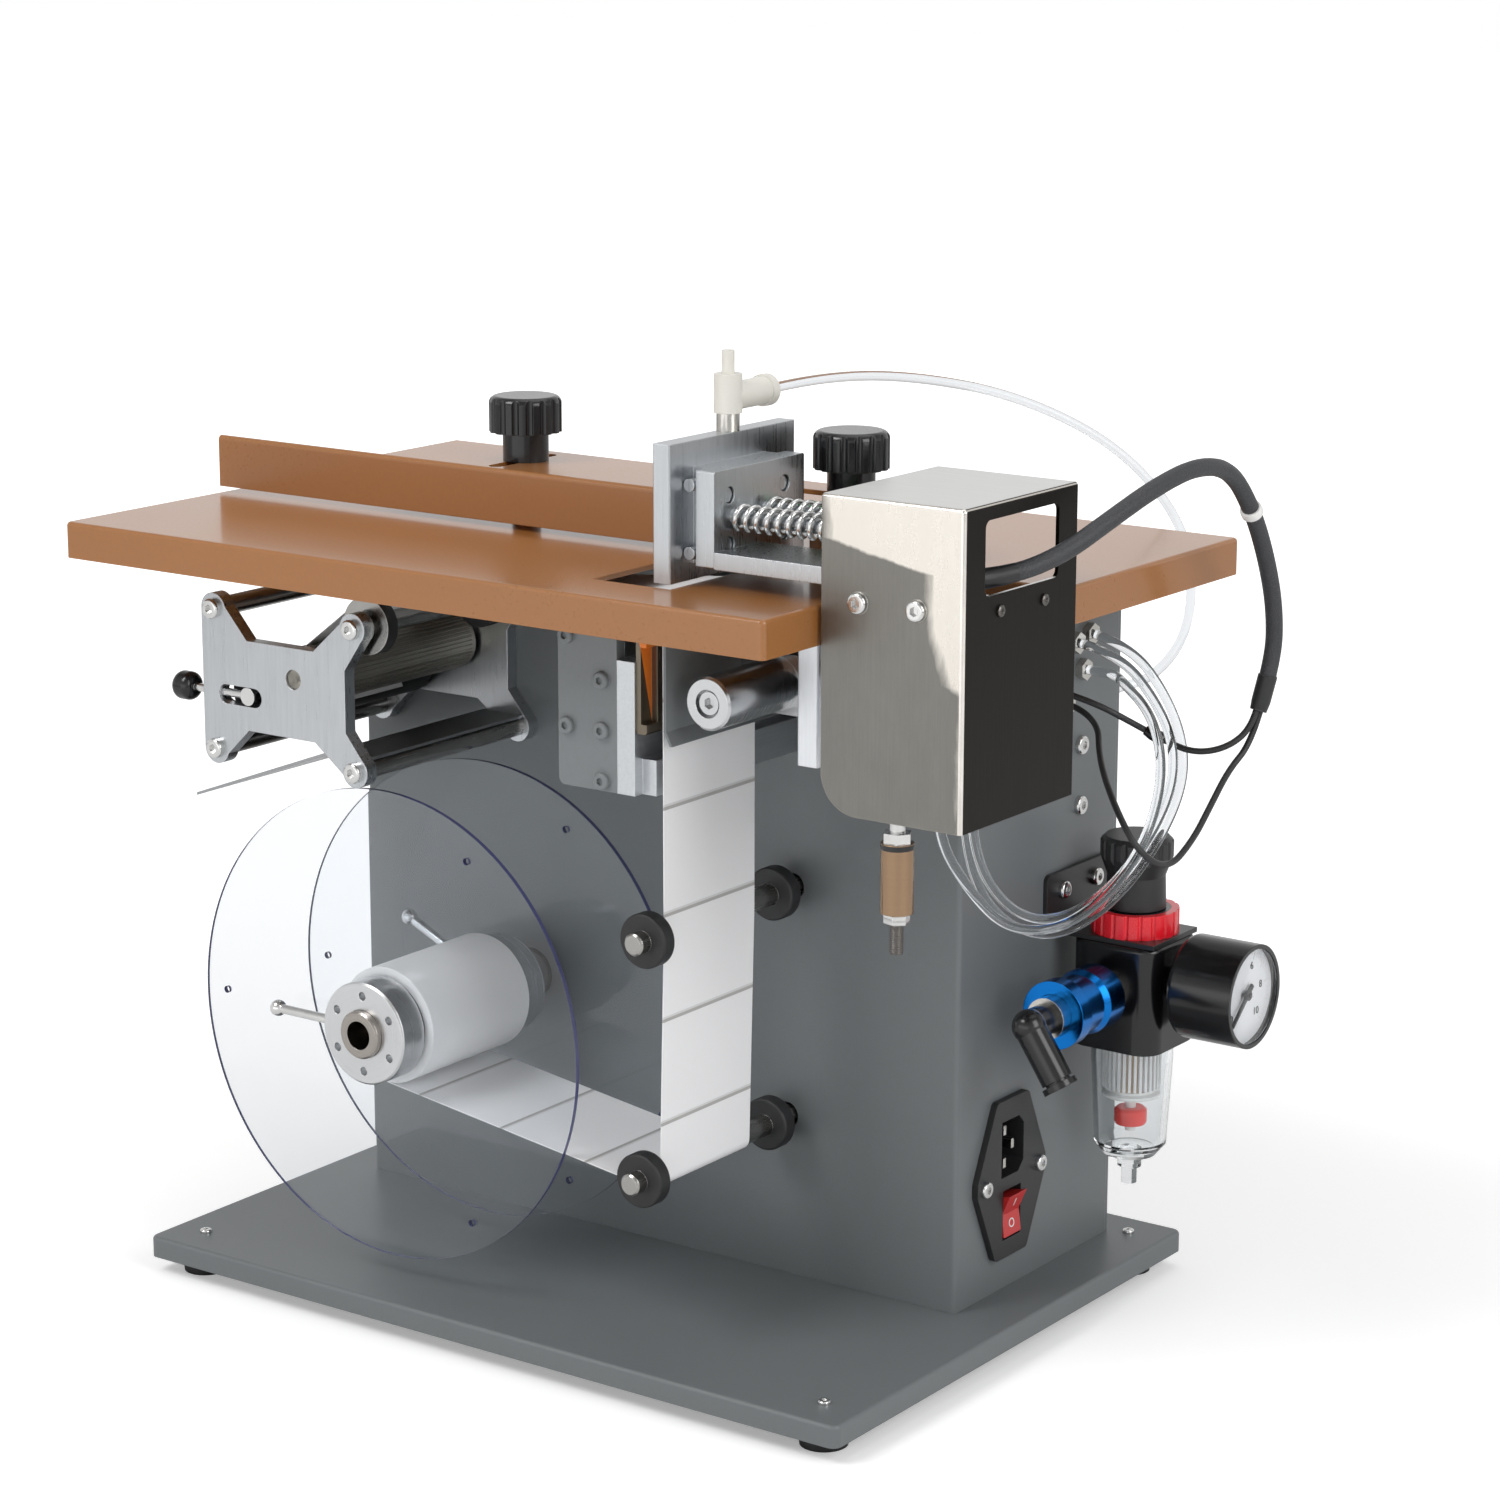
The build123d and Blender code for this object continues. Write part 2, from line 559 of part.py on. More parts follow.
def feed_plate(front):
    left = FEED_LEFT_X - FEED_LOBE
    right = FEED_RIGHT_X - FEED_LOBE + 2
    low = FEED_LOW_Z + FEED_WAIST_INSET
    high = FEED_HIGH_Z - FEED_WAIST_INSET - 2
    back = front + FEED_PLATE
    plate = block(left, right, front, back, low, high)
    for z, level in ((FEED_LOW_Z, low), (FEED_HIGH_Z, high)):
        plate += bar((FEED_LEFT_X, front, z), "Y", 2 * FEED_LOBE, FEED_PLATE)
        plate += bar((FEED_RIGHT_X, front, z), "Y", 2 * FEED_LOBE, FEED_PLATE)
        reach = 6 if z < level else -6
        plate += profile([(left, z), (left, level + reach), (FEED_LEFT_X + 20, level + reach),
                          (FEED_LEFT_X + 18, level), (FEED_LEFT_X + FEED_LOBE - 0.6, z - reach / 3)], front, back)
        plate += profile([(FEED_RIGHT_X - 21, level), (FEED_RIGHT_X - 20, level + reach), (right, level + reach),
                          (FEED_RIGHT_X + FEED_LOBE - 1.2, z + reach * 0.6), (FEED_RIGHT_X, z),
                          (FEED_RIGHT_X - FEED_LOBE + 0.6, z - reach / 3)], front, back)
    slot_centre = (PINCH_SLOT_LEFT + PINCH_SLOT_LENGTH / 2, PINCH_Z)
    plate -= rounded_slot(slot_centre, PINCH_SLOT_LENGTH, PINCH_SLOT_WIDTH, front, back)
    plate -= bar((DRIVE_X, front, DRIVE_Z), "Y", DRIVE_SHAFT + 2 * FIT, FEED_PLATE)
    for x in (FEED_LEFT_X, FEED_RIGHT_X):
        for z in (FEED_LOW_Z, FEED_HIGH_Z):
            plate -= bar((x, front, z), "Y", 4 + 2 * FIT, FEED_PLATE)
    return plate


front_plate = feed_plate(FEED_PLATE_FRONT)
rod_y = FEED_PLATE_FRONT + FEED_PLATE / 2
front_plate -= bar((PINCH_SLOT_LEFT + 1, rod_y, PINCH_Z), "-X", RELEASE_ROD + 2 * FIT, 20)
nodes["feed_plates"] = Compound(children=[front_plate, feed_plate(FEED_REAR)])
spacers = []
for x in (FEED_LEFT_X, FEED_RIGHT_X):
    for z in (FEED_LOW_Z, FEED_HIGH_Z):
        spacer = bar((x, FEED_INNER, z), "Y", FEED_SPACER, FEED_REAR - FEED_INNER)
        spacer += pan_screw((x, FEED_PLATE_FRONT, z), "-Y", FEED_SCREW_HEAD, FEED_SCREW_HEIGHT, 4, FEED_PLATE)
        spacer += bar((x, FEED_REAR, z), "Y", 4, FEED_PLATE)
        spacers.append(spacer)
for y in (PAPER_COLLAR_FRONT, PAPER_COLLAR_REAR):
    ring = tube((FEED_RIGHT_X, y, FEED_HIGH_Z), "Y", PAPER_COLLAR, FEED_SPACER + FIT, PAPER_COLLAR_LENGTH)
    spacers.append(ring)
nodes["spacer_rods"] = Compound(children=spacers)

deflector_seat = FEED_LOW_Z + FEED_SPACER / 2 + FIT
deflector_bend = FEED_RIGHT_X - 18
deflector_end = FEED_RIGHT_X + 3
tip_z = deflector_seat - DEFLECTOR_TIP_DROP
deflector = profile([(DEFLECTOR_TIP_X, tip_z), (deflector_bend, deflector_seat), (deflector_end, deflector_seat),
                     (deflector_end, deflector_seat + DEFLECTOR_SHEET),
                     (deflector_bend, deflector_seat + DEFLECTOR_SHEET),
                     (DEFLECTOR_TIP_X, tip_z + DEFLECTOR_SHEET)], FEED_INNER, FEED_REAR)
nodes["deflector_sheet"] = deflector

roller_front = FEED_INNER + ROLLER_END_GAP
roller_length = FEED_REAR - ROLLER_END_GAP - roller_front
drive = bar((DRIVE_X, roller_front, DRIVE_Z), "Y", DRIVE_DIAMETER, roller_length)
knurl_plane = Plane(origin=(DRIVE_X, roller_front + 2, DRIVE_Z), z_dir=(0, 1, 0))
knurl = PolarLocations(DRIVE_DIAMETER / 2, DRIVE_GROOVES)
groove = Box(2 * DRIVE_GROOVE_DEPTH, 0.7, roller_length - 4, align=(Align.CENTER, Align.CENTER, Align.MIN))
drive -= around(knurl_plane.location, knurl, groove)
drive += bar((DRIVE_X, FEED_PLATE_FRONT + 1.2, DRIVE_Z), "Y", DRIVE_SHAFT, WALL_BACK - FEED_PLATE_FRONT - 2.2)
drive += bar((DRIVE_X, WALL_BACK - 2, DRIVE_Z), "Y", MOTOR_SHAFT, 22)
nodes["drive_roller"] = drive

axle = bar((PINCH_X, FEED_PLATE_FRONT + 0.5, PINCH_Z), "Y", PINCH_AXLE, COLUMN_FRONT - FEED_PLATE_FRONT - 1)
for y in (FEED_PLATE_FRONT + 0.5, FEED_REAR):
    axle += bar((PINCH_X, y, PINCH_Z), "Y", PINCH_BUSH, FEED_PLATE - 0.5)
knob_face = FEED_LEFT_X - FEED_LOBE - RELEASE_REACH
axle += bar((PINCH_X, rod_y, PINCH_Z), "-X", RELEASE_ROD, PINCH_X - knob_face)
ball = bar((knob_face + RELEASE_KNOB * 0.42, rod_y, PINCH_Z), "-X", RELEASE_KNOB, RELEASE_KNOB * 0.84)
ball = fillet(ball.edges().filter_by(GeomType.CIRCLE), RELEASE_KNOB_ROUND)
nodes["pinch_carriage"] = axle + ball
pinch = bar((PINCH_X, roller_front, PINCH_Z), "Y", PINCH_DIAMETER, roller_length)
pinch = fillet(pinch.edges().filter_by(GeomType.CIRCLE), 1)
nodes["pinch_roller"] = pinch - bar((PINCH_X, roller_front, PINCH_Z), "Y", PINCH_AXLE + 2 * FIT, roller_length)

# Motor and shaft bearings on the inside of the column's front wall
motor = block(DRIVE_X - MOTOR_SIZE / 2, DRIVE_X + MOTOR_SIZE / 2, WALL_BACK, WALL_BACK + MOTOR_LENGTH,
              DRIVE_Z - MOTOR_SIZE / 2, DRIVE_Z + MOTOR_SIZE / 2)
motor = chamfer(motor.edges().filter_by(Axis.Y), 4)
motor -= bar((DRIVE_X, WALL_BACK, DRIVE_Z), "Y", MOTOR_SHAFT + 2 * FIT, 22)
bearings = [motor]
for x, z, shaft in ((REEL_X, REEL_Z, SPINDLE_DIAMETER), (LOWER_GUIDE_X, LOWER_GUIDE_Z, GUIDE_DIAMETER),
                    (UPPER_GUIDE_X, UPPER_GUIDE_Z, GUIDE_DIAMETER)):
    flange = bar((x, WALL_BACK, z), "Y", BEARING_DIAMETER + shaft, 3)
    flange += bar((x, WALL_BACK, z), "Y", BEARING_DIAMETER / 2 + shaft, BEARING_LENGTH)
    bearings.append(flange - bar((x, WALL_BACK, z), "Y", shaft + 2 * FIT, BEARING_LENGTH))
nodes["motor_and_bearings"] = Compound(children=bearings)

# Reel: spindle, far collar and disc, core, near disc and its clamping collar
spindle = bar((REEL_X, SPINDLE_FRONT, REEL_Z), "Y", SPINDLE_DIAMETER, WALL_BACK + BEARING_LENGTH - SPINDLE_FRONT)
spindle = chamfer(spindle.edges().filter_by(GeomType.CIRCLE).sort_by(Axis.Y)[0], 0.8)
spindle -= bar((REEL_X, SPINDLE_FRONT, REEL_Z), "Y", SPINDLE_BORE, 30)
seat_length = DISC_REAR - DISC_NEAR - 1
spindle += tube((REEL_X, DISC_NEAR + 1, REEL_Z), "Y", CORE_DIAMETER - 2 * CORE_WALL - GAP, SPINDLE_DIAMETER,
                seat_length)


def reel_disc(y):
    disc = tube((REEL_X, y, REEL_Z), "Y", DISC_DIAMETER, SPINDLE_DIAMETER + 2 * FIT, DISC_SHEET)
    plane = Plane(origin=(REEL_X, y, REEL_Z), z_dir=(0, 1, 0))
    hole = Cylinder(DISC_HOLE / 2, 3 * DISC_SHEET)
    return disc - around(plane.location, PolarLocations(DISC_DIAMETER / 2 - DISC_HOLE_INSET, 3, 30), hole)


def collar(y, holes_side):
    ring = tube((REEL_X, y, REEL_Z), "Y", COLLAR_DIAMETER, SPINDLE_DIAMETER + 2 * FIT, COLLAR_LENGTH)
    ring = chamfer(ring.edges().filter_by(GeomType.CIRCLE).group_by(SortBy.RADIUS)[-1], 0.8)
    plane = Plane(origin=(REEL_X, holes_side, REEL_Z), z_dir=(0, 1, 0))
    hole = Cylinder(1.8, COLLAR_LENGTH / 2)
    return ring - around(plane.location, PolarLocations(COLLAR_DIAMETER * 0.37, COLLAR_HOLES), hole)


def lever(y, angle):
    reach = Rot(0, -angle, 0)
    rod = Pos(COLLAR_DIAMETER / 2 - 6, 0, 0) * Rot(0, 90, 0) * Cylinder(
        LEVER_ROD / 2, LEVER_LENGTH + 6, align=(Align.CENTER, Align.CENTER, Align.MIN))
    knob = Pos(COLLAR_DIAMETER / 2 + LEVER_LENGTH, 0, 0) * Sphere(LEVER_BALL / 2)
    return Pos(REEL_X, y, REEL_Z) * (reach * (rod + knob))


def lever_bore(y, angle):
    hole = Pos(COLLAR_DIAMETER / 2 - 6.2, 0, 0) * Rot(0, 90, 0) * Cylinder(
        LEVER_ROD / 2 + FIT, 20, align=(Align.CENTER, Align.CENTER, Align.MIN))
    return Pos(REEL_X, y, REEL_Z) * (Rot(0, -angle, 0) * hole)


NEAR_COLLAR_Y = DISC_NEAR - DISC_SHEET - COLLAR_LENGTH
FAR_COLLAR_Y = DISC_REAR + DISC_SHEET
near_lever_y = NEAR_COLLAR_Y + COLLAR_LENGTH / 2
far_lever_y = FAR_COLLAR_Y + COLLAR_LENGTH / 2
far_collar = collar(FAR_COLLAR_Y, FAR_COLLAR_Y + COLLAR_LENGTH / 2) - lever_bore(
    far_lever_y, FAR_LEVER_ANGLE) + lever(far_lever_y, FAR_LEVER_ANGLE)
nodes["reel_spindle"] = Compound(children=[spindle, far_collar])
nodes["far_disc"] = reel_disc(DISC_REAR)
nodes["near_disc"] = reel_disc(DISC_NEAR - DISC_SHEET)
nodes["near_collar"] = collar(NEAR_COLLAR_Y, NEAR_COLLAR_Y) - lever_bore(near_lever_y, 180)
nodes["near_lever"] = lever(near_lever_y, 180)
nodes["label_core"] = tube((REEL_X, DISC_NEAR, REEL_Z), "Y", CORE_DIAMETER,
                           CORE_DIAMETER - 2 * CORE_WALL, DISC_REAR - DISC_NEAR)

# Guide rollers: a turning shaft with two rubber collars each
for name, x, z in (("lower_guide", LOWER_GUIDE_X, LOWER_GUIDE_Z), ("upper_guide", UPPER_GUIDE_X, UPPER_GUIDE_Z)):
    shaft = bar((x, GUIDE_FRONT, z), "Y", GUIDE_DIAMETER, WALL_BACK + BEARING_LENGTH - GUIDE_FRONT)
    shaft = chamfer(shaft.edges().filter_by(GeomType.CIRCLE).sort_by(Axis.Y)[0], 0.8)
    for y in (GUIDE_COLLAR_FRONT, GUIDE_COLLAR_REAR):
        rubber = bar((x, y, z), "Y", GUIDE_COLLAR, GUIDE_COLLAR_LENGTH)
        rubber = fillet(rubber.edges().filter_by(GeomType.CIRCLE), 1)
        shaft += rubber
    nodes[name] = shaft

# Label web from the core, under and up the guides to the peeling edge, and the backing paper back to the feed


def sheet_run(points, radii):
    path = FilletPolyline(*[(x, z) for x, z in points], radius=radii)
    band = trace(path, WEB_SHEET)
    face = Plane.XZ * band
    return Pos(0, WEB_REAR, 0) * extrude(face, WEB_WIDTH)


guide_gap = GUIDE_DIAMETER / 2 + GAP + WEB_SHEET / 2
core_gap = CORE_DIAMETER / 2 + GAP + WEB_SHEET / 2
web_x = UPPER_GUIDE_X + guide_gap
PEEL_EDGE_Z = TABLE_UNDER - 3.0
span = LOWER_GUIDE_X - REEL_X
drop = REEL_Z - LOWER_GUIDE_Z
reach = math.hypot(span, drop)
slope = math.atan2(drop, span) - math.asin((core_gap - guide_gap) / reach)
core_touch = (REEL_X - core_gap * math.sin(slope), REEL_Z - core_gap * math.cos(slope))
turn_x = LOWER_GUIDE_X + guide_gap
turn_run = (turn_x - core_touch[0]) / math.cos(slope)
turn_z = core_touch[1] - turn_run * math.sin(slope)
nodes["label_web"] = sheet_run([core_touch, (turn_x, turn_z), (web_x, UPPER_GUIDE_Z), (web_x, PEEL_EDGE_Z - 1)],
                               [guide_gap, 60])
collar_gap = PAPER_COLLAR / 2 + GAP / 2 + WEB_SHEET / 2
drive_gap = DRIVE_DIAMETER / 2 + GAP + WEB_SHEET / 2
paper_left = PEEL_EDGE_X - 4
paper_high = PEEL_EDGE_Z - 2
collar_top = FEED_HIGH_Z + collar_gap
tangent = math.atan2(FEED_HIGH_Z - DRIVE_Z, FEED_RIGHT_X - DRIVE_X)
leave_x = FEED_RIGHT_X - collar_gap * math.tan(tangent / 2)
start = math.pi / 2 + tangent
finish = math.pi + math.radians(NIP_ANGLE)
corner = (start + finish) / 2
corner_r = drive_gap / math.cos((finish - start) / 2)
corner_point = (DRIVE_X + corner_r * math.cos(corner), DRIVE_Z + corner_r * math.sin(corner))
nip_point = (DRIVE_X - drive_gap * math.cos(math.radians(NIP_ANGLE)),
             DRIVE_Z - drive_gap * math.sin(math.radians(NIP_ANGLE)))
tail = (nip_point[0] + 13 * math.sin(math.radians(NIP_ANGLE)), nip_point[1] - 13 * math.cos(math.radians(NIP_ANGLE)))
nodes["backing_paper"] = sheet_run([(paper_left, paper_high), (leave_x, collar_top), corner_point, tail],
                                   [collar_gap, drive_gap - 0.05])

# Peeling unit: painted side plate, bar with the peeling edge, label sensor, guide plate and stop post
side = block(PEEL_LEFT, PEEL_PLATE_RIGHT, PEEL_FRONT, PEEL_FRONT + PEEL_PLATE, PEEL_BOTTOM, TABLE_UNDER - 2)
side = fillet(side.edges().filter_by(Axis.Y).group_by(Axis.Z)[0].sort_by(Axis.X)[0], 3)
peel_screws = [(PEEL_LEFT + 4.5, TABLE_UNDER - 21.6), (PEEL_PLATE_RIGHT - 7, TABLE_UNDER - 37.4),
               (PEEL_LEFT + 4.5, TABLE_UNDER - 57.2), (PEEL_PLATE_RIGHT - 7, TABLE_UNDER - 57.2),
               (PEEL_PLATE_RIGHT - 7, PEEL_BOTTOM + 4)]
peel_plate_parts = []
for x, z in peel_screws:
    side -= bar((x, PEEL_FRONT, z), "Y", 4 + 2 * FIT, PEEL_PLATE)
    peel_plate_parts.append(pan_screw((x, PEEL_FRONT, z), "-Y", 7, 2.2, 4, PEEL_PLATE))
nodes["peel_side_plate"] = Compound(children=[side] + peel_plate_parts)
peel_rear = COLUMN_FRONT
peel_block = block(PEEL_LEFT, PEEL_PLATE_RIGHT, PEEL_FRONT + PEEL_PLATE, peel_rear, PEEL_BOTTOM, TABLE_UNDER - 14)
peel_block += block(PEEL_PLATE_RIGHT, PEEL_BAR_RIGHT, PEEL_FRONT, peel_rear, PEEL_BOTTOM, PEEL_BAR_TOP)
peel_block += block(PEEL_BAR_RIGHT, PEEL_BAR_RIGHT + PEEL_STEP, PEEL_FRONT + PEEL_PLATE, peel_rear, PEEL_BOTTOM,
                    PEEL_BOTTOM + PEEL_STEP_HEIGHT)
peel_block += profile([(PEEL_PLATE_RIGHT - 10, TABLE_UNDER - 18), (PEEL_EDGE_X - 1, PEEL_EDGE_Z - 3.4),
                       (PEEL_EDGE_X, PEEL_EDGE_Z - 3.0), (PEEL_EDGE_X - 1, PEEL_EDGE_Z - 2.6),
                       (PEEL_PLATE_RIGHT - 10, TABLE_UNDER - 13)], WEB_FRONT, WEB_REAR)
nodes["peel_block"] = peel_block
sensor = block(PEEL_BAR_RIGHT, PEEL_BAR_RIGHT + SENSOR_LENGTH, PEEL_FRONT + 1, PEEL_FRONT + 1 + SENSOR_DEPTH,
               SENSOR_BOTTOM, SENSOR_BOTTOM + SENSOR_HEIGHT)
sensor = chamfer(sensor.edges().filter_by(Axis.Y), 0.8)
sensor -= block(PEEL_BAR_RIGHT + SENSOR_LENGTH * 0.45, PEEL_BAR_RIGHT + SENSOR_LENGTH, PEEL_FRONT,
                PEEL_FRONT + 8, SENSOR_BOTTOM + 4, SENSOR_BOTTOM + SENSOR_HEIGHT - 6)
nodes["label_sensor"] = sensor
guide = block(WEB_PLATE_X, WEB_PLATE_X + WEB_PLATE, WEB_PLATE_FRONT, WEB_PLATE_FRONT + WEB_PLATE_DEPTH,
              WEB_PLATE_BOTTOM, WEB_PLATE_BOTTOM + WEB_PLATE_HEIGHT)
guide += profile([(WEB_PLATE_X, WEB_PLATE_BOTTOM), (WEB_PLATE_X + WEB_PLATE, WEB_PLATE_BOTTOM),
                  (WEB_PLATE_X + WEB_PLATE + 3, WEB_PLATE_BOTTOM - WEB_PLATE_LIP),
                  (WEB_PLATE_X + 3, WEB_PLATE_BOTTOM - WEB_PLATE_LIP)],
                 WEB_PLATE_FRONT, WEB_PLATE_FRONT + WEB_PLATE_DEPTH)
nodes["web_guide_plate"] = guide
post = bar((STOP_POST_X, STOP_POST_FRONT, STOP_POST_Z), "Y", STOP_POST_DIAMETER, STOP_POST_LENGTH)
post = chamfer(post.edges().filter_by(GeomType.CIRCLE).sort_by(Axis.Y)[0], 1)
post -= bar((STOP_POST_X, STOP_POST_FRONT, STOP_POST_Z), "Y", STOP_POST_RECESS, 4)
cap = bar((STOP_POST_X, STOP_POST_FRONT + 1, STOP_POST_Z), "Y", STOP_POST_RECESS - 2, 3)
post += cap - hex_bar((STOP_POST_X, STOP_POST_FRONT + 1, STOP_POST_Z), "Y", 4, 2)
post_end = STOP_POST_FRONT + STOP_POST_LENGTH
post_block = block(WEB_PLATE_X + WEB_PLATE, STOP_POST_X + STOP_POST_DIAMETER / 2, post_end, COLUMN_FRONT,
                   STOP_POST_Z - POST_BLOCK_HEIGHT / 2, STOP_POST_Z + POST_BLOCK_HEIGHT / 2)
nodes["stop_post"] = Compound(children=[post, post_block])

# Carrier plate on the column with the rail that the head rides on
carrier = block(CARRIER_X, CARRIER_RIGHT, CARRIER_FRONT, COLUMN_FRONT, CARRIER_BOTTOM,
                CARRIER_BOTTOM + CARRIER_HEIGHT)
carrier = chamfer(carrier.edges().filter_by(Axis.Z).group_by(Axis.Y)[0], 0.6)
rail = block(CARRIER_RIGHT, CARRIER_RIGHT + RAIL_HEIGHT, RAIL_Y - RAIL_WIDTH / 2, RAIL_Y + RAIL_WIDTH / 2,
             CARRIER_BOTTOM + 2, TABLE_UNDER - TABLE_FLANGE + 10)
rail -= block(CARRIER_RIGHT + 2, CARRIER_RIGHT + 4, RAIL_Y - RAIL_WIDTH / 2, RAIL_Y - RAIL_WIDTH / 2 + 1,
              0, TABLE_TOP)
rail -= block(CARRIER_RIGHT + 2, CARRIER_RIGHT + 4, RAIL_Y + RAIL_WIDTH / 2 - 1, RAIL_Y + RAIL_WIDTH / 2,
              0, TABLE_TOP)
nodes["carrier_plate"] = carrier + rail

# Head frame with its slider, and the folded cover
slider_z = FRAME_BOTTOM
slider_right = CARRIER_RIGHT + SLIDER_HEIGHT + 1
slider = block(CARRIER_RIGHT + 1, slider_right, RAIL_Y - SLIDER_WIDTH / 2, RAIL_Y + SLIDER_WIDTH / 2,
               slider_z, slider_z + SLIDER_LENGTH)
slider -= block(CARRIER_RIGHT, CARRIER_RIGHT + RAIL_HEIGHT + SLIDER_GAP, RAIL_Y - RAIL_WIDTH / 2 - SLIDER_GAP,
                RAIL_Y + RAIL_WIDTH / 2 + SLIDER_GAP, slider_z, slider_z + SLIDER_LENGTH)
arm = block(slider_right, FRAME_X, RAIL_Y - SLIDER_WIDTH / 2, RAIL_Y + SLIDER_WIDTH / 2, slider_z,
            slider_z + SLIDER_LENGTH)
back = block(FRAME_X, FRAME_RIGHT, FRAME_FRONT, FRAME_FRONT + FRAME_DEPTH, FRAME_BOTTOM,
             FRAME_BOTTOM + FRAME_HEIGHT)
lug = block(FRAME_RIGHT, FRAME_RIGHT + LUG_LENGTH, FRAME_FRONT, FRAME_FRONT + LUG_DEPTH, LUG_BOTTOM,
            LUG_BOTTOM + LUG_HEIGHT)
frame = slider + arm + back + lug
rod_points = [(ROD_FRONT + i * ROD_PITCH, ROD_Z) for i in range(2)]
for y, z in rod_points:
    frame -= bar((FRAME_X, y, z), "X", ROD_DIAMETER + 2 * FIT, FRAME_PLATE)
board = block(FRAME_X - BOARD_REACH, FRAME_X, BOARD_FRONT, BOARD_FRONT + BOARD_DEPTH, BOARD_BOTTOM,
              BOARD_BOTTOM + BOARD_HEIGHT)
nodes["head_frame"] = frame
nodes["sensor_board"] = board

LOOP_START = COVER_BOTTOM + 10
COVER_FRONT = FRAME_FRONT - COVER_SHEET
COVER_TOP = COVER_BOTTOM + COVER_HEIGHT
cover = block(COVER_LEFT, COVER_RIGHT, COVER_FRONT, COVER_FRONT + COVER_DEPTH, COVER_BOTTOM, COVER_TOP)
cover = fillet(cover.edges().filter_by(Axis.Z).group_by(Axis.Y)[0].sort_by(Axis.X)[-1], COVER_SHEET)
cover = fillet(cover.edges().filter_by(Axis.Y).group_by(Axis.Z)[-1].sort_by(Axis.X)[-1], COVER_SHEET)
cover -= block(COVER_LEFT, COVER_RIGHT - COVER_SHEET, COVER_FRONT + COVER_SHEET, COVER_FRONT + COVER_DEPTH,
               COVER_BOTTOM, COVER_TOP - COVER_SHEET)
corner_cut = block(COVER_LEFT, COVER_LEFT + COVER_CORNER, COVER_FRONT, COVER_FRONT + COVER_SHEET, COVER_BOTTOM,
                   COVER_BOTTOM + COVER_CORNER)
corner_cut -= bar((COVER_LEFT + COVER_CORNER, COVER_FRONT, COVER_BOTTOM + COVER_CORNER), "Y", 2 * COVER_CORNER,
                  COVER_SHEET)
cover -= corner_cut
window = Pos(COVER_WINDOW_FRONT + COVER_WINDOW_DEPTH / 2, COVER_WINDOW_BOTTOM + COVER_WINDOW_HEIGHT / 2) * \
    RectangleRounded(COVER_WINDOW_DEPTH, COVER_WINDOW_HEIGHT, 3)
cover -= Pos(COVER_RIGHT - COVER_SHEET, 0, 0) * extrude(Plane.YZ * window, COVER_SHEET)
cover_screws = []
for i in range(2):
    x = COVER_SCREW_X + i * COVER_SCREW_PITCH
    cover -= bar((x, COVER_FRONT, COVER_SCREW_Z), "Y", 4 + 2 * FIT, COVER_SHEET)
    cover_screws.append(pan_screw((x, COVER_FRONT, COVER_SCREW_Z), "-Y", 8, 2.4, 4, COVER_SHEET))
nodes["head_cover"] = Compound(children=[cover] + cover_screws)

# Elbow fitting inside the cover window, screwed into the frame
fit_y = COVER_WINDOW_FRONT + 24
fit_z = COVER_WINDOW_BOTTOM + 6
flow = bar((FRAME_RIGHT, fit_y, fit_z), "X", 9, 8)
flow += hex_bar((FRAME_RIGHT + 8, fit_y, fit_z), "X", 10, 6)
flow += bar((FRAME_RIGHT + 14, fit_y, fit_z), "X", 8, 16)
flow += bar((FRAME_RIGHT + 24, fit_y, fit_z), "-Z", 8, 13)
loop_ports = {"tube_loop_a": (355, 88), "tube_loop_b": (346, 97), "tube_loop_c": (345, 79)}
fittings = [flow]
for x, y in loop_ports.values():
    port = bar((FRAME_RIGHT, y, LOOP_START + PORT_DROP), "X", PORT_DIAMETER, x + PORT_STUB / 2 - FRAME_RIGHT)
    fittings.append(port + bar((x, y, LOOP_START + PORT_DROP), "-Z", PORT_STUB, PORT_DROP))
cable_start = (COVER_RIGHT - 15, 48, COVER_WINDOW_BOTTOM + 3)
cable_exit = (COVER_RIGHT - 1, 60, COVER_WINDOW_BOTTOM + 5)
gland_plane = Plane(origin=cable_start, z_dir=Vector(*cable_exit) - Vector(*cable_start))
gland = gland_plane * Cylinder(CABLE_DIAMETER / 2 + GLAND_WALL, GLAND_LENGTH,
                               align=(Align.CENTER, Align.CENTER, Align.MAX))
gland += block(cable_start[0] - GLAND_FOOT, COVER_RIGHT - COVER_SHEET, cable_start[1] - GLAND_FOOT,
               cable_start[1] + GLAND_FOOT, COVER_WINDOW_BOTTOM - GLAND_FOOT, COVER_WINDOW_BOTTOM - 1.5)
fittings.append(gland)
nodes["flow_fitting"] = Compound(children=fittings)

# Press group: vacuum plate, spacer and press plate on two sprung rods, with a flag bar under them
vacuum = block(VACUUM_X, VACUUM_RIGHT, VACUUM_FRONT, VACUUM_FRONT + VACUUM_DEPTH, VACUUM_BOTTOM,
               VACUUM_BOTTOM + VACUUM_HEIGHT)
vacuum = chamfer(vacuum.edges().filter_by(Axis.Z), 0.6)
face_plane = Plane(origin=(VACUUM_X, VACUUM_FRONT + VACUUM_DEPTH / 2, VACUUM_BOTTOM + VACUUM_HEIGHT * 0.4),
                   x_dir=(0, 1, 0), z_dir=(1, 0, 0))
suction = Cylinder(VACUUM_HOLE / 2, 6)
vacuum -= around(face_plane.location, GridLocations(9, 7, VACUUM_COLUMNS, VACUUM_ROWS), suction)
fitting_y = VACUUM_FRONT + 43
fitting_x = VACUUM_X + VACUUM_PLATE / 2
VACUUM_TOP = VACUUM_BOTTOM + VACUUM_HEIGHT
vacuum -= bar((fitting_x, fitting_y, VACUUM_TOP - 8), "Z", 5, 8)
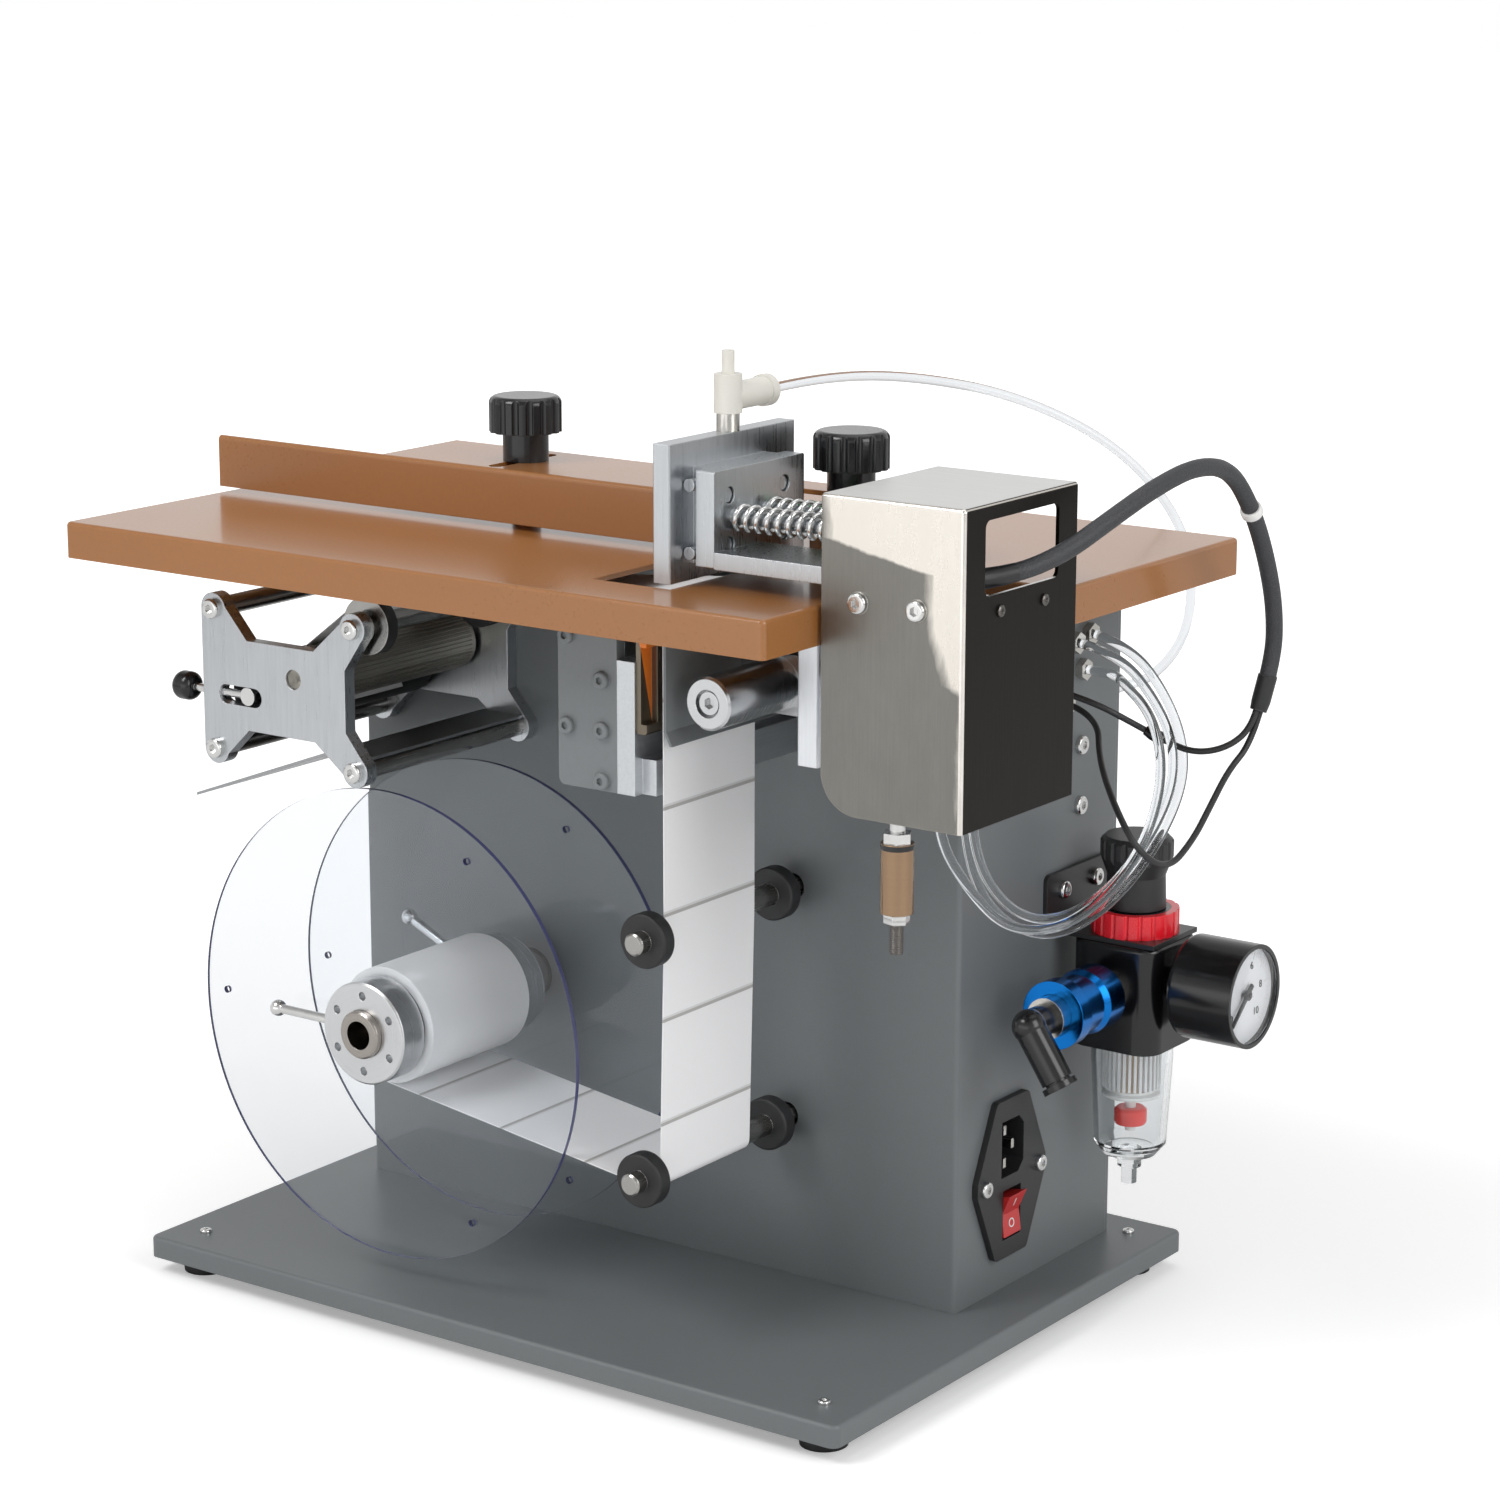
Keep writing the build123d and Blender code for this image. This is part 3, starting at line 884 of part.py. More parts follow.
spacer = block(VACUUM_RIGHT, PRESS_LEFT, PRESS_FRONT + 6, PRESS_FRONT + PRESS_DEPTH - 6, PRESS_BOTTOM,
               PRESS_BOTTOM + PRESS_HEIGHT)
press = block(PRESS_LEFT, PRESS_RIGHT, PRESS_FRONT, PRESS_FRONT + PRESS_DEPTH, PRESS_BOTTOM,
              PRESS_BOTTOM + PRESS_HEIGHT)
press = chamfer(press.edges().filter_by(Axis.X), 0.6) + spacer
for y in (PRESS_FRONT + 10, PRESS_FRONT + PRESS_DEPTH - 13):
    for z in (PRESS_BOTTOM + 8, PRESS_BOTTOM + PRESS_HEIGHT - 10):
        press -= bar((PRESS_RIGHT, y, z), "-X", 6.5, 4)
        press += bar((PRESS_RIGHT - 4, y, z), "X", 5.6, 3)
for z in (PRESS_BOTTOM + 5, PRESS_BOTTOM + PRESS_HEIGHT - 6):
    press += bar((VACUUM_RIGHT + PRESS_SPACER / 2, PRESS_FRONT + 6, z), "-Y", 5, 6.5)
flag = block(PRESS_RIGHT, PRESS_RIGHT + FLAG_REACH, FLAG_FRONT, FLAG_FRONT + FLAG_DEPTH, PRESS_BOTTOM,
             PRESS_BOTTOM + FLAG_HEIGHT)
rod_length = FRAME_RIGHT + ROD_OVERRUN - PRESS_RIGHT
for y, z in rod_points:
    press += bar((PRESS_RIGHT, y, z), "X", ROD_DIAMETER, rod_length)
nodes["press_plates"] = Compound(children=[vacuum, press, flag])
spring_space = FRAME_X - PRESS_RIGHT
springs = []
for y, z in rod_points:
    coil_height = spring_space - SPRING_WIRE
    helix = Helix(pitch=SPRING_PITCH, height=coil_height, radius=(SPRING_DIAMETER - SPRING_WIRE) / 2)
    section = Plane(origin=helix @ 0, z_dir=helix % 0) * RegularPolygon(SPRING_WIRE / 2, 6)
    coil = sweep(section, path=helix, is_frenet=True)
    springs.append(Pos(PRESS_RIGHT + SPRING_WIRE / 2, y, z) * (Rot(0, 90, 0) * coil))
nodes["press_springs"] = Compound(children=springs)

# Push-in elbow on top of the vacuum plate
joint = bar((fitting_x, fitting_y, VACUUM_TOP), "Z", 9, 7)
joint += bar((fitting_x, fitting_y, VACUUM_TOP - 8), "Z", 4.8, 8)
joint += bar((fitting_x, fitting_y, VACUUM_TOP + 7), "Z", 11, 15)
joint += bar((fitting_x, fitting_y, VACUUM_TOP + 22), "Z", 5, 9)
port_z = VACUUM_TOP + 13
joint += bar((fitting_x, fitting_y, port_z), "Y", 11, 22)
joint += bar((fitting_x, fitting_y + 22, port_z), "Y", 12.5, 4)
joint -= bar((fitting_x, fitting_y + 16, port_z), "Y", TUBE_DIAMETER + 2 * FIT, 10)
nodes["air_fitting"] = joint

# Compact cylinder behind the cover front, with its rod, bronze barrel, nut and stud below
half = CYLINDER_SIZE / 2
cylinder = block(CYLINDER_X - half, CYLINDER_X + half, CYLINDER_Y - half, CYLINDER_Y + half, COVER_BOTTOM + 2,
                 COVER_BOTTOM + 2 + CYLINDER_HEIGHT)
cylinder = chamfer(cylinder.edges().filter_by(Axis.Z), 2)
cylinder -= bar((CYLINDER_X, CYLINDER_Y, COVER_BOTTOM + 2), "Z", CYLINDER_ROD + 2 * FIT, CYLINDER_HEIGHT - 6)
cylinder += block(FRAME_RIGHT, CYLINDER_X - half, CYLINDER_Y - half + 3, CYLINDER_Y + half - 3,
                  COVER_BOTTOM + 20, COVER_BOTTOM + 50)
nodes["head_cylinder"] = cylinder
barrel_top = COVER_BOTTOM - BARREL_DROP
rod = bar((CYLINDER_X, CYLINDER_Y, barrel_top), "Z", CYLINDER_ROD, BARREL_DROP + 2 + CYLINDER_HEIGHT - 14)
rod += bar((CYLINDER_X, CYLINDER_Y, barrel_top), "-Z", BARREL_DIAMETER, BARREL_HEIGHT)
rod += hex_bar((CYLINDER_X, CYLINDER_Y, barrel_top), "Z", CYLINDER_NUT, 4)
rod += bar((CYLINDER_X, CYLINDER_Y, barrel_top - BARREL_HEIGHT), "-Z", STUD_DIAMETER, STUD_LENGTH)
nodes["cylinder_rod"] = rod

# Air service unit on its bracket
plate_y = AIR_Y - 2
bracket = block(COLUMN_RIGHT, COLUMN_RIGHT + BRACKET_SHEET, plate_y - BRACKET_LENGTH / 2,
                plate_y + BRACKET_LENGTH / 2, BODY_TOP, BODY_TOP + BRACKET_HEIGHT)
shelf = block(COLUMN_RIGHT, AIR_X + RING_DIAMETER / 2 + 1, AIR_Y - RING_DIAMETER / 2, AIR_Y + RING_DIAMETER / 2,
              BODY_TOP, SHELF_TOP)
bracket = fillet(bracket.edges().filter_by(Axis.X), 3) + shelf
bracket -= bar((AIR_X, AIR_Y, BODY_TOP), "Z", NECK_DIAMETER + 2 * FIT, BRACKET_SHEET)
for i in (-1, 1):
    y = plate_y + i * BRACKET_SCREW_PITCH / 2
    z = BODY_TOP + BRACKET_HEIGHT * 0.7
    bracket -= bar((COLUMN_RIGHT, y, z), "X", 4 + 2 * FIT, BRACKET_SHEET)
    cabinet -= bar((COLUMN_RIGHT, y, z), "-X", 4 + 2 * FIT, COLUMN_SHEET)
    screws.append(pan_screw((COLUMN_RIGHT + BRACKET_SHEET, y, z), "X", 7.5, 2.6, 4, BRACKET_SHEET + COLUMN_SHEET))
nodes["regulator_bracket"] = bracket
body = block(AIR_X - BODY_SIZE / 2, BODY_RIGHT, BODY_FRONT, AIR_Y + BODY_SIZE / 2, BODY_BOTTOM, BODY_TOP)
body = fillet(body.edges().filter_by(Axis.Z), BODY_CORNER)
body = fillet(body.edges().group_by(Axis.Z)[-1], 2)
body += bar((AIR_X, AIR_Y, BODY_TOP), "Z", NECK_DIAMETER, BRACKET_SHEET + RING_HEIGHT)
body += bar((AIR_X, AIR_Y, RING_TOP), "Z", CAP_DIAMETER / 2, CAP_HEIGHT / 2)
body += bar((AIR_X, AIR_Y, BODY_BOTTOM), "-Z", ELEMENT_DIAMETER, ELEMENT_HEIGHT)
nodes["regulator_body"] = body
ring = bar((AIR_X, AIR_Y, SHELF_TOP), "Z", RING_DIAMETER, RING_HEIGHT)
ring_pattern = PolarLocations(RING_DIAMETER / 2 + 0.3, 20)
ring -= around(Pos(AIR_X, AIR_Y, SHELF_TOP), ring_pattern, Cylinder(1.0, 4 * RING_HEIGHT))
nodes["lock_ring"] = ring - bar((AIR_X, AIR_Y, SHELF_TOP), "Z", NECK_DIAMETER + 2 * FIT, RING_HEIGHT)
cap_bottom = RING_TOP + GAP
knob_section = Polyline((0, 0), (CAP_DIAMETER / 2 - 2.5, 0), (CAP_DIAMETER / 2 - 3, CAP_HEIGHT * 0.45),
                        (CAP_DIAMETER / 2, CAP_HEIGHT * 0.72), (CAP_DIAMETER / 2, CAP_HEIGHT - 2),
                        (CAP_DIAMETER / 2 - 2, CAP_HEIGHT), (0, CAP_HEIGHT), close=True)
cap = Pos(AIR_X, AIR_Y, cap_bottom) * revolve(Plane.XZ * make_face(knob_section), Axis.Z)
cap_pattern = PolarLocations(CAP_DIAMETER / 2 + 0.4, 18)
cap -= around(Pos(AIR_X, AIR_Y, cap_bottom + CAP_HEIGHT * 0.9), cap_pattern, Cylinder(1.3, CAP_HEIGHT))
cap -= bar((AIR_X, AIR_Y, cap_bottom), "Z", CAP_DIAMETER / 2 + 2 * FIT, CAP_HEIGHT / 2 + GAP)
nodes["regulator_knob"] = cap
bowl_bottom = BODY_BOTTOM - BOWL_HEIGHT
outer = Polyline((0, 0), (BOWL_FOOT / 2 - 4, 0), (BOWL_FOOT / 2, 5), (BOWL_DIAMETER / 2, BOWL_HEIGHT - 8),
                 (BOWL_DIAMETER / 2, BOWL_HEIGHT), (BOWL_DIAMETER / 2 - BOWL_WALL, BOWL_HEIGHT),
                 (BOWL_DIAMETER / 2 - BOWL_WALL, BOWL_HEIGHT - 8), (BOWL_FOOT / 2 - BOWL_WALL, 6),
                 (BOWL_FOOT / 2 - 5, 3), (0, 3), close=True)
bowl = Pos(AIR_X, AIR_Y, bowl_bottom) * revolve(Plane.XZ * make_face(outer), Axis.Z)
drain = bar((AIR_X, AIR_Y, bowl_bottom), "-Z", DRAIN_DIAMETER, DRAIN_HEIGHT * 0.45)
drain += bar((AIR_X, AIR_Y, bowl_bottom - DRAIN_HEIGHT * 0.45), "-Z", DRAIN_DIAMETER * 0.65, DRAIN_HEIGHT * 0.55)
nodes["filter_bowl"] = bowl + drain

gauge = bar((BODY_RIGHT, AIR_Y, GAUGE_Z), "X", GAUGE_STEM_DIAMETER, GAUGE_STEM)
case = bar((GAUGE_LEFT, AIR_Y, GAUGE_Z), "X", GAUGE_DIAMETER, GAUGE_LENGTH)
case_rims = case.edges().filter_by(GeomType.CIRCLE).sort_by(Axis.X)
case = fillet(case_rims[0], 3)
case -= bar((GAUGE_RIGHT, AIR_Y, GAUGE_Z), "-X", GAUGE_DIAMETER - 2 * GAUGE_RIM, GAUGE_DIAL_DEPTH)
dial = GAUGE_RIGHT - GAUGE_DIAL_DEPTH
pivot = bar((dial, AIR_Y, GAUGE_Z), "X", 1.6, 2.4)
nodes["pressure_gauge"] = gauge + case + pivot
needle_plane = Plane(origin=(dial + 0.8, AIR_Y, GAUGE_Z), x_dir=(0, 1, 0), z_dir=(1, 0, 0))
needle_face = Polyline((-5, -0.9), (NEEDLE_LENGTH, -0.3), (NEEDLE_LENGTH, 0.3), (-5, 0.9), close=True)
needle = extrude(needle_plane * (Rot(0, 0, 225) * make_face(needle_face)), 0.8)
needle += bar((dial + 0.8, AIR_Y, GAUGE_Z), "X", 4, 1.2)
nodes["gauge_needle"] = needle - bar((dial, AIR_Y, GAUGE_Z), "X", 1.6 + 2 * FIT, 3)

# Sliding shut-off valve and its elbow
core = bar((AIR_X, VALVE_FRONT, VALVE_Z), "Y", VALVE_CORE, VALVE_LENGTH)
core += hex_bar((AIR_X, VALVE_FRONT, VALVE_Z), "Y", NUT_DIAMETER, NUT_LENGTH)
core -= bar((AIR_X, VALVE_FRONT, VALVE_Z), "Y", VALVE_BORE, VALVE_LENGTH - 6)
nodes["valve_core"] = core
sleeve_section = Polyline((VALVE_CORE / 2 + FIT, 0), (SLEEVE_RIM / 2, 0), (SLEEVE_RIM / 2, 7),
                          (SLEEVE_DIAMETER / 2, 9), (SLEEVE_DIAMETER / 2, SLEEVE_LENGTH - 14),
                          (SLEEVE_RIM / 2 - 0.6, SLEEVE_LENGTH - 11), (SLEEVE_RIM / 2 - 0.6, SLEEVE_LENGTH),
                          (VALVE_CORE / 2 + FIT, SLEEVE_LENGTH), close=True)
sleeve = revolve(Plane.XZ * make_face(sleeve_section), Axis.Z)
sleeve_frame = Plane(origin=(AIR_X, SLEEVE_FRONT, VALVE_Z), z_dir=(0, 1, 0))
nodes["valve_sleeve"] = sleeve_frame * sleeve
elbow = bar((AIR_X, VALVE_FRONT, VALVE_Z), "Y", VALVE_BORE - 2 * FIT, 12)
elbow += bar((AIR_X, VALVE_FRONT, VALVE_Z), "-Y", ELBOW_DIAMETER, ELBOW_REACH)
elbow_point = (AIR_X, VALVE_FRONT - ELBOW_REACH, VALVE_Z)
elbow += Pos(*elbow_point) * Sphere(ELBOW_DIAMETER / 2 + 0.5)
mouth_dir = (math.sin(math.radians(ELBOW_TILT)), 0, -math.cos(math.radians(ELBOW_TILT)))
mouth_plane = Plane(origin=elbow_point, z_dir=mouth_dir)
bottom = (Align.CENTER, Align.CENTER, Align.MIN)
elbow += mouth_plane * Cylinder(ELBOW_DIAMETER / 2, ELBOW_MOUTH, align=bottom)
elbow += mouth_plane * (Pos(0, 0, ELBOW_MOUTH) * Cylinder(ELBOW_DIAMETER / 2 - 1.2, 1, align=bottom))
elbow += mouth_plane * (Pos(0, 0, ELBOW_MOUTH + 1) * Cylinder(ELBOW_DIAMETER / 2 + 0.8, 2.5, align=bottom))
elbow -= mouth_plane * (Pos(0, 0, 12) * Cylinder(ELBOW_BORE / 2, ELBOW_MOUTH, align=bottom))
nodes["elbow_fitting"] = elbow

# Fused power inlet with a rocker switch
inlet_outline = [(INLET_Y - 12, INLET_Z + INLET_HEIGHT / 2), (INLET_Y + 12, INLET_Z + INLET_HEIGHT / 2),
                 (INLET_Y + INLET_WIDTH / 2, INLET_Z + 3), (INLET_Y + INLET_WIDTH / 2, INLET_Z - 3),
                 (INLET_Y + 12, INLET_Z - INLET_HEIGHT / 2), (INLET_Y - 12, INLET_Z - INLET_HEIGHT / 2),
                 (INLET_Y - INLET_WIDTH / 2, INLET_Z - 3), (INLET_Y - INLET_WIDTH / 2, INLET_Z + 3)]
flange = Pos(COLUMN_RIGHT, 0, 0) * extrude(Plane.YZ * make_face(Polyline(*inlet_outline, close=True)), INLET_FLANGE)
flange = fillet(flange.edges().filter_by(Axis.X), 2.5)
inlet = flange + block(COLUMN_RIGHT - INLET_BODY_DEPTH, COLUMN_RIGHT, INLET_Y - INLET_BODY_WIDTH / 2,
                       INLET_Y + INLET_BODY_WIDTH / 2, INLET_Z - INLET_BODY_HEIGHT / 2,
                       INLET_Z + INLET_BODY_HEIGHT / 2)
socket_z = INLET_Z + SOCKET_RISE
INLET_FACE = COLUMN_RIGHT + INLET_FLANGE
cavity = block(INLET_FACE - SOCKET_DEPTH, INLET_FACE, INLET_Y - SOCKET_WIDTH / 2, INLET_Y + SOCKET_WIDTH / 2,
               socket_z - SOCKET_HEIGHT / 2, socket_z + SOCKET_HEIGHT / 2)
cavity = chamfer(cavity.edges().filter_by(Axis.X).group_by(Axis.Y)[-1], 4)
inlet -= cavity
for y, z in ((INLET_Y - 3, socket_z - 7), (INLET_Y - 3, socket_z + 7), (INLET_Y + 3, socket_z)):
    inlet += block(INLET_FACE - SOCKET_DEPTH - 1, INLET_FACE - 2, y - 1, y + 1, z - 2, z + 2)
rocker_z = INLET_Z - ROCKER_DROP
rocker_pivot_x = INLET_FACE - 4
inlet -= block(INLET_FACE - 12, INLET_FACE, INLET_Y - ROCKER_WIDTH / 2 - GAP, INLET_Y + ROCKER_WIDTH / 2 + GAP,
               rocker_z - ROCKER_HEIGHT / 2 - 1.2, rocker_z + ROCKER_HEIGHT / 2 + 1.2)
for i in (-1, 1):
    y = INLET_Y + i * INLET_SCREW_PITCH / 2
    z = INLET_Z
    inlet -= bar((COLUMN_RIGHT, y, z), "X", 3.5 + 2 * FIT, INLET_FLANGE)
    cabinet -= bar((COLUMN_RIGHT, y, z), "-X", 3.5 + 2 * FIT, COLUMN_SHEET)
    screws.append(pan_screw((INLET_FACE, y, z), "X", 7, 2.2, 3.5, INLET_FLANGE + COLUMN_SHEET))
pin_y = INLET_Y - ROCKER_WIDTH / 2 - ROCKER_PIN_REACH
pin_length = ROCKER_WIDTH + 2 * ROCKER_PIN_REACH
inlet -= bar((rocker_pivot_x, pin_y - GAP, rocker_z), "Y", ROCKER_PIN + 2 * FIT, pin_length + 2 * GAP)
nodes["power_inlet"] = inlet
rocker_half = ROCKER_HEIGHT / 2
rocker_outline = Polyline((rocker_pivot_x - 3, rocker_z - rocker_half + 3),
                          (INLET_FACE + 0.6, rocker_z - rocker_half),
                          (INLET_FACE - 0.6, rocker_z), (INLET_FACE + 3.2, rocker_z + rocker_half - 0.6),
                          (rocker_pivot_x - 3, rocker_z + rocker_half - 3), close=True)
rocker = profile([(v.X, v.Y) for v in rocker_outline.vertices()], INLET_Y - ROCKER_WIDTH / 2,
                 INLET_Y + ROCKER_WIDTH / 2)
nodes["rocker_switch"] = rocker + bar((rocker_pivot_x, pin_y, rocker_z), "Y", ROCKER_PIN, pin_length)

nodes["column_cabinet"] = Compound(children=[cabinet, panel])
nodes["case_screws"] = Compound(children=screws)

# Cords: routes are chosen points, each joined by arcs as large as its runs allow


def arc_radii(points):
    radii = []
    for a, b, c in zip(points, points[1:], points[2:]):
        one = Vector(*b) - Vector(*a)
        two = Vector(*c) - Vector(*b)
        turn = math.radians(one.get_angle(two))
        radii.append(0.45 * min(one.length, two.length) / math.tan(turn / 2))
    return radii


def cord(name, points, diameter):
    radii = arc_radii(points)
    path = FilletPolyline(*points, radius=radii)
    start = Plane(origin=path @ 0, z_dir=path % 0)
    solid = sweep(start * Circle(diameter / 2), path=path)
    area = math.pi * diameter ** 2 / 4
    print(name, "length", round(path.length, 1), "volume ratio", round(solid.volume / (area * path.length), 4),
          "radii", [round(r) for r in radii])
    nodes[name] = solid
    return path.length


tube_end = (314, COLUMN_REAR + CORD_END_REACH, port_z - 142)
head_tube_points = [
    (fitting_x, fitting_y + 26, port_z), (fitting_x, fitting_y + 62, port_z + 1), (266, 178, port_z - 3),
    (290, 222, port_z - 14), (318, 256, port_z - 36), (338, 274, port_z - 66), (342, 281, port_z - 94),
    (337, 285, port_z - 120), (325, 280, port_z - 138), (315, 265, port_z - 141.5), tube_end]
cord("air_tube", head_tube_points, TUBE_DIAMETER)

# Three tubes hang from their ports in loops and end on the column's right side
cord_ends = {"tube_loop_a": (206, 280), "tube_loop_b": (217, 282), "tube_loop_c": (212, 268),
             "thin_cable_a": (192.5, 262), "thin_cable_b": (200, 255)}
end_x = COLUMN_RIGHT + CORD_END_REACH
loop_routes = {
    "tube_loop_a": [(355, 88, 231), (357, 97, 207), (360, 118, 189), (364, 143, 183), (370, 168, 190),
                    (377, 187, 208), (381, 198, 228), (380, 200, 246), (370, 202, 262), (351, 206.5, 277)],
    "tube_loop_b": [(346, 97, 229), (349, 104, 200), (353, 125, 181), (358, 153, 173), (365, 182, 182),
                    (372, 203, 202), (375, 217, 223), (373, 221, 241), (365, 219, 261), (350, 217, 278.5)],
    "tube_loop_c": [(345, 79, 229), (351, 94, 204), (362, 104, 188), (372, 125, 184), (384, 141, 195),
                    (392, 156, 214), (393, 167, 234), (390, 172, 251), (378, 182, 263), (359, 195, 269),
                    (346, 210, 268.5)]}
for name, middle in loop_routes.items():
    cord(name, [(*loop_ports[name], LOOP_START), *middle, (end_x, *cord_ends[name])], TUBE_DIAMETER)

# A thick cable rises through the cover window, bends over and leaves two thin ones
cable_points = [
    cable_start, cable_exit, (398, 81, 342), (405, 104, 353), (409, 130, 362), (411, 157, 366.5),
    (411, 183, 362), (410, 204, 343), (409, 219, 321), (407, 231, 298.5), (405, 235, 277), (402, 229, 257)]
cord("head_cable", cable_points, CABLE_DIAMETER)
cable_end = Vector(*cable_points[-1])
cable_run = (cable_end - Vector(*cable_points[-2])).normalized()
apart = Vector(0, -cable_run.Z, cable_run.Y).normalized() * (THIN_DIAMETER / 2 + 0.5)
thin_start = cable_end - apart
cord("thin_cable_a", [tuple(thin_start), tuple(thin_start + cable_run * 8), (395, 216.5, 243), (384, 210.5, 240.5),
                      (371, 210, 243.5), (358, 206, 250), (346, 194, 259.5), (end_x, *cord_ends["thin_cable_a"])],
     THIN_DIAMETER)
thin_start = cable_end + apart
cord("thin_cable_b", [tuple(thin_start), tuple(thin_start + cable_run * 14), (397, 215, 234.5), (399, 197, 223.5),
                      (401, 180, 213.5), (402, 159, 206), (399, 141, 216), (386, 145, 230.5), (362, 172, 242),
                      (346, 198.5, 252), (end_x, *cord_ends["thin_cable_b"])], THIN_DIAMETER)

# Nuts on the column where the cords end
end_pieces = [hex_bar((tube_end[0], COLUMN_REAR, tube_end[2]), "Y", TUBE_NUT, CORD_END_REACH - CORD_END_GAP)]
for name, (y, z) in cord_ends.items():
    across = THIN_NUT if name.startswith("thin") else TUBE_NUT
    end_pieces.append(hex_bar((COLUMN_RIGHT, y, z), "X", across, CORD_END_REACH - CORD_END_GAP))
nodes["cord_glands"] = Compound(children=end_pieces)

# Set the origin under the middle of the machine, on the surface it stands on
CORD_NODES = ["air_tube", "head_cable", "thin_cable_a", "thin_cable_b", *loop_routes]
rigid = [shape for name, shape in nodes.items() if name not in CORD_NODES]
boxes = [shape.bounding_box() for shape in rigid]
SHIFT_X = -(min(b.min.X for b in boxes) + max(b.max.X for b in boxes)) / 2
SHIFT_Y = -(min(b.min.Y for b in boxes) + max(b.max.Y for b in boxes)) / 2

os.makedirs("parts", exist_ok=True)
for name, shape in nodes.items():
    export_step(Pos(SHIFT_X, SHIFT_Y, 0) * shape, "parts/" + name + ".step")
print(len(nodes), "nodes", "shift", round(SHIFT_X, 3), round(SHIFT_Y, 3))
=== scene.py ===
import bpy
import bmesh
import math
from mathutils import Euler, Matrix, Vector


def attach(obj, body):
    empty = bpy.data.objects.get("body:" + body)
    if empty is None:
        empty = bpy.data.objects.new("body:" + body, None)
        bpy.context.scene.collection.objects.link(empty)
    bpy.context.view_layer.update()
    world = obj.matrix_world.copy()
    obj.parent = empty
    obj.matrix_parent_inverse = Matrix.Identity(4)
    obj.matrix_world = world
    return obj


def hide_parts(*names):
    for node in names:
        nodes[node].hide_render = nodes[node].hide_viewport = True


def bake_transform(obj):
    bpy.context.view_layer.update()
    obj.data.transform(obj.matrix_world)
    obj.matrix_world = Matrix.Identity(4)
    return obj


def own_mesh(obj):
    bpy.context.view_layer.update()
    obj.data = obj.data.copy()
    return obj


# Flat labelling machine, in metres, in the frame of its CAD model

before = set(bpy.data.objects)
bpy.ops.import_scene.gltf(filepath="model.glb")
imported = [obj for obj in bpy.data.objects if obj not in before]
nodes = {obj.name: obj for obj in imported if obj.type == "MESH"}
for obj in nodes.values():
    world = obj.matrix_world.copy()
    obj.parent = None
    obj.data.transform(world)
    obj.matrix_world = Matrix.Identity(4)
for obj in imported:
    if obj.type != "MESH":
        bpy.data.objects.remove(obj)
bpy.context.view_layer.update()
cadShift = Vector((-0.192, -0.129, 0.0))   # from the tray's front left corner to the model's origin


def spot(x, y, z):
    # a point measured in millimetres from the tray's front left corner
    return Vector((x, y, z)) / 1000 + cadShift


print("camera")
shot = {"lens": 93.6, "place": (0.9325, -1.2609, 0.5996), "azimuth": 35.1, "elevation": 13.2, "roll": 0.2,
        "shift": (-0.021, -0.0015)}
cameraData = bpy.data.cameras.new("camera")
cameraData.lens = shot["lens"]
cameraData.sensor_width = 36
cameraData.shift_x, cameraData.shift_y = shot["shift"]
cameraData.clip_start = 0.02
camera = bpy.data.objects.new("camera", cameraData)
turned = Euler((math.radians(90 - shot["elevation"]), 0, math.radians(shot["azimuth"]))).to_matrix()
turned = turned @ Matrix.Rotation(math.radians(shot["roll"]), 3, "Z")
camera.matrix_world = Matrix.Translation(shot["place"]) @ turned.to_4x4()
bpy.context.scene.collection.objects.link(camera)
bpy.context.scene.camera = camera
bpy.context.scene.view_settings.view_transform = "Standard"


class Link:
    # a value inside a material, added up and multiplied as usual
    def __init__(self, finish, socket):
        self.finish = finish
        self.socket = socket

    def sum(self, operation, *others, clamp=False):
        return self.finish.add("ShaderNodeMath", {"operation": operation, "use_clamp": clamp}, [self, *others])

    def __add__(self, other):
        return self.sum("ADD", other)

    def __radd__(self, other):
        return self.sum("ADD", other)

    def __sub__(self, other):
        return self.sum("SUBTRACT", other)

    def __rsub__(self, other):
        return self.finish.add("ShaderNodeMath", {"operation": "SUBTRACT"}, [other, self])

    def __mul__(self, other):
        return self.sum("MULTIPLY", other)

    def __rmul__(self, other):
        return self.sum("MULTIPLY", other)

    def __truediv__(self, other):
        return self.sum("DIVIDE", other)

    def __rtruediv__(self, other):
        return self.finish.add("ShaderNodeMath", {"operation": "DIVIDE"}, [other, self])

    def __pow__(self, other):
        return self.sum("POWER", other)

    def over(self, limit):
        return self.sum("GREATER_THAN", limit)

    def under(self, limit):
        return self.sum("LESS_THAN", limit)

    def held(self):
        return self.sum("ADD", 0.0, clamp=True)

    def waved(self):
        return self.sum("SINE")

    def fraction(self):
        return self.sum("FRACT")


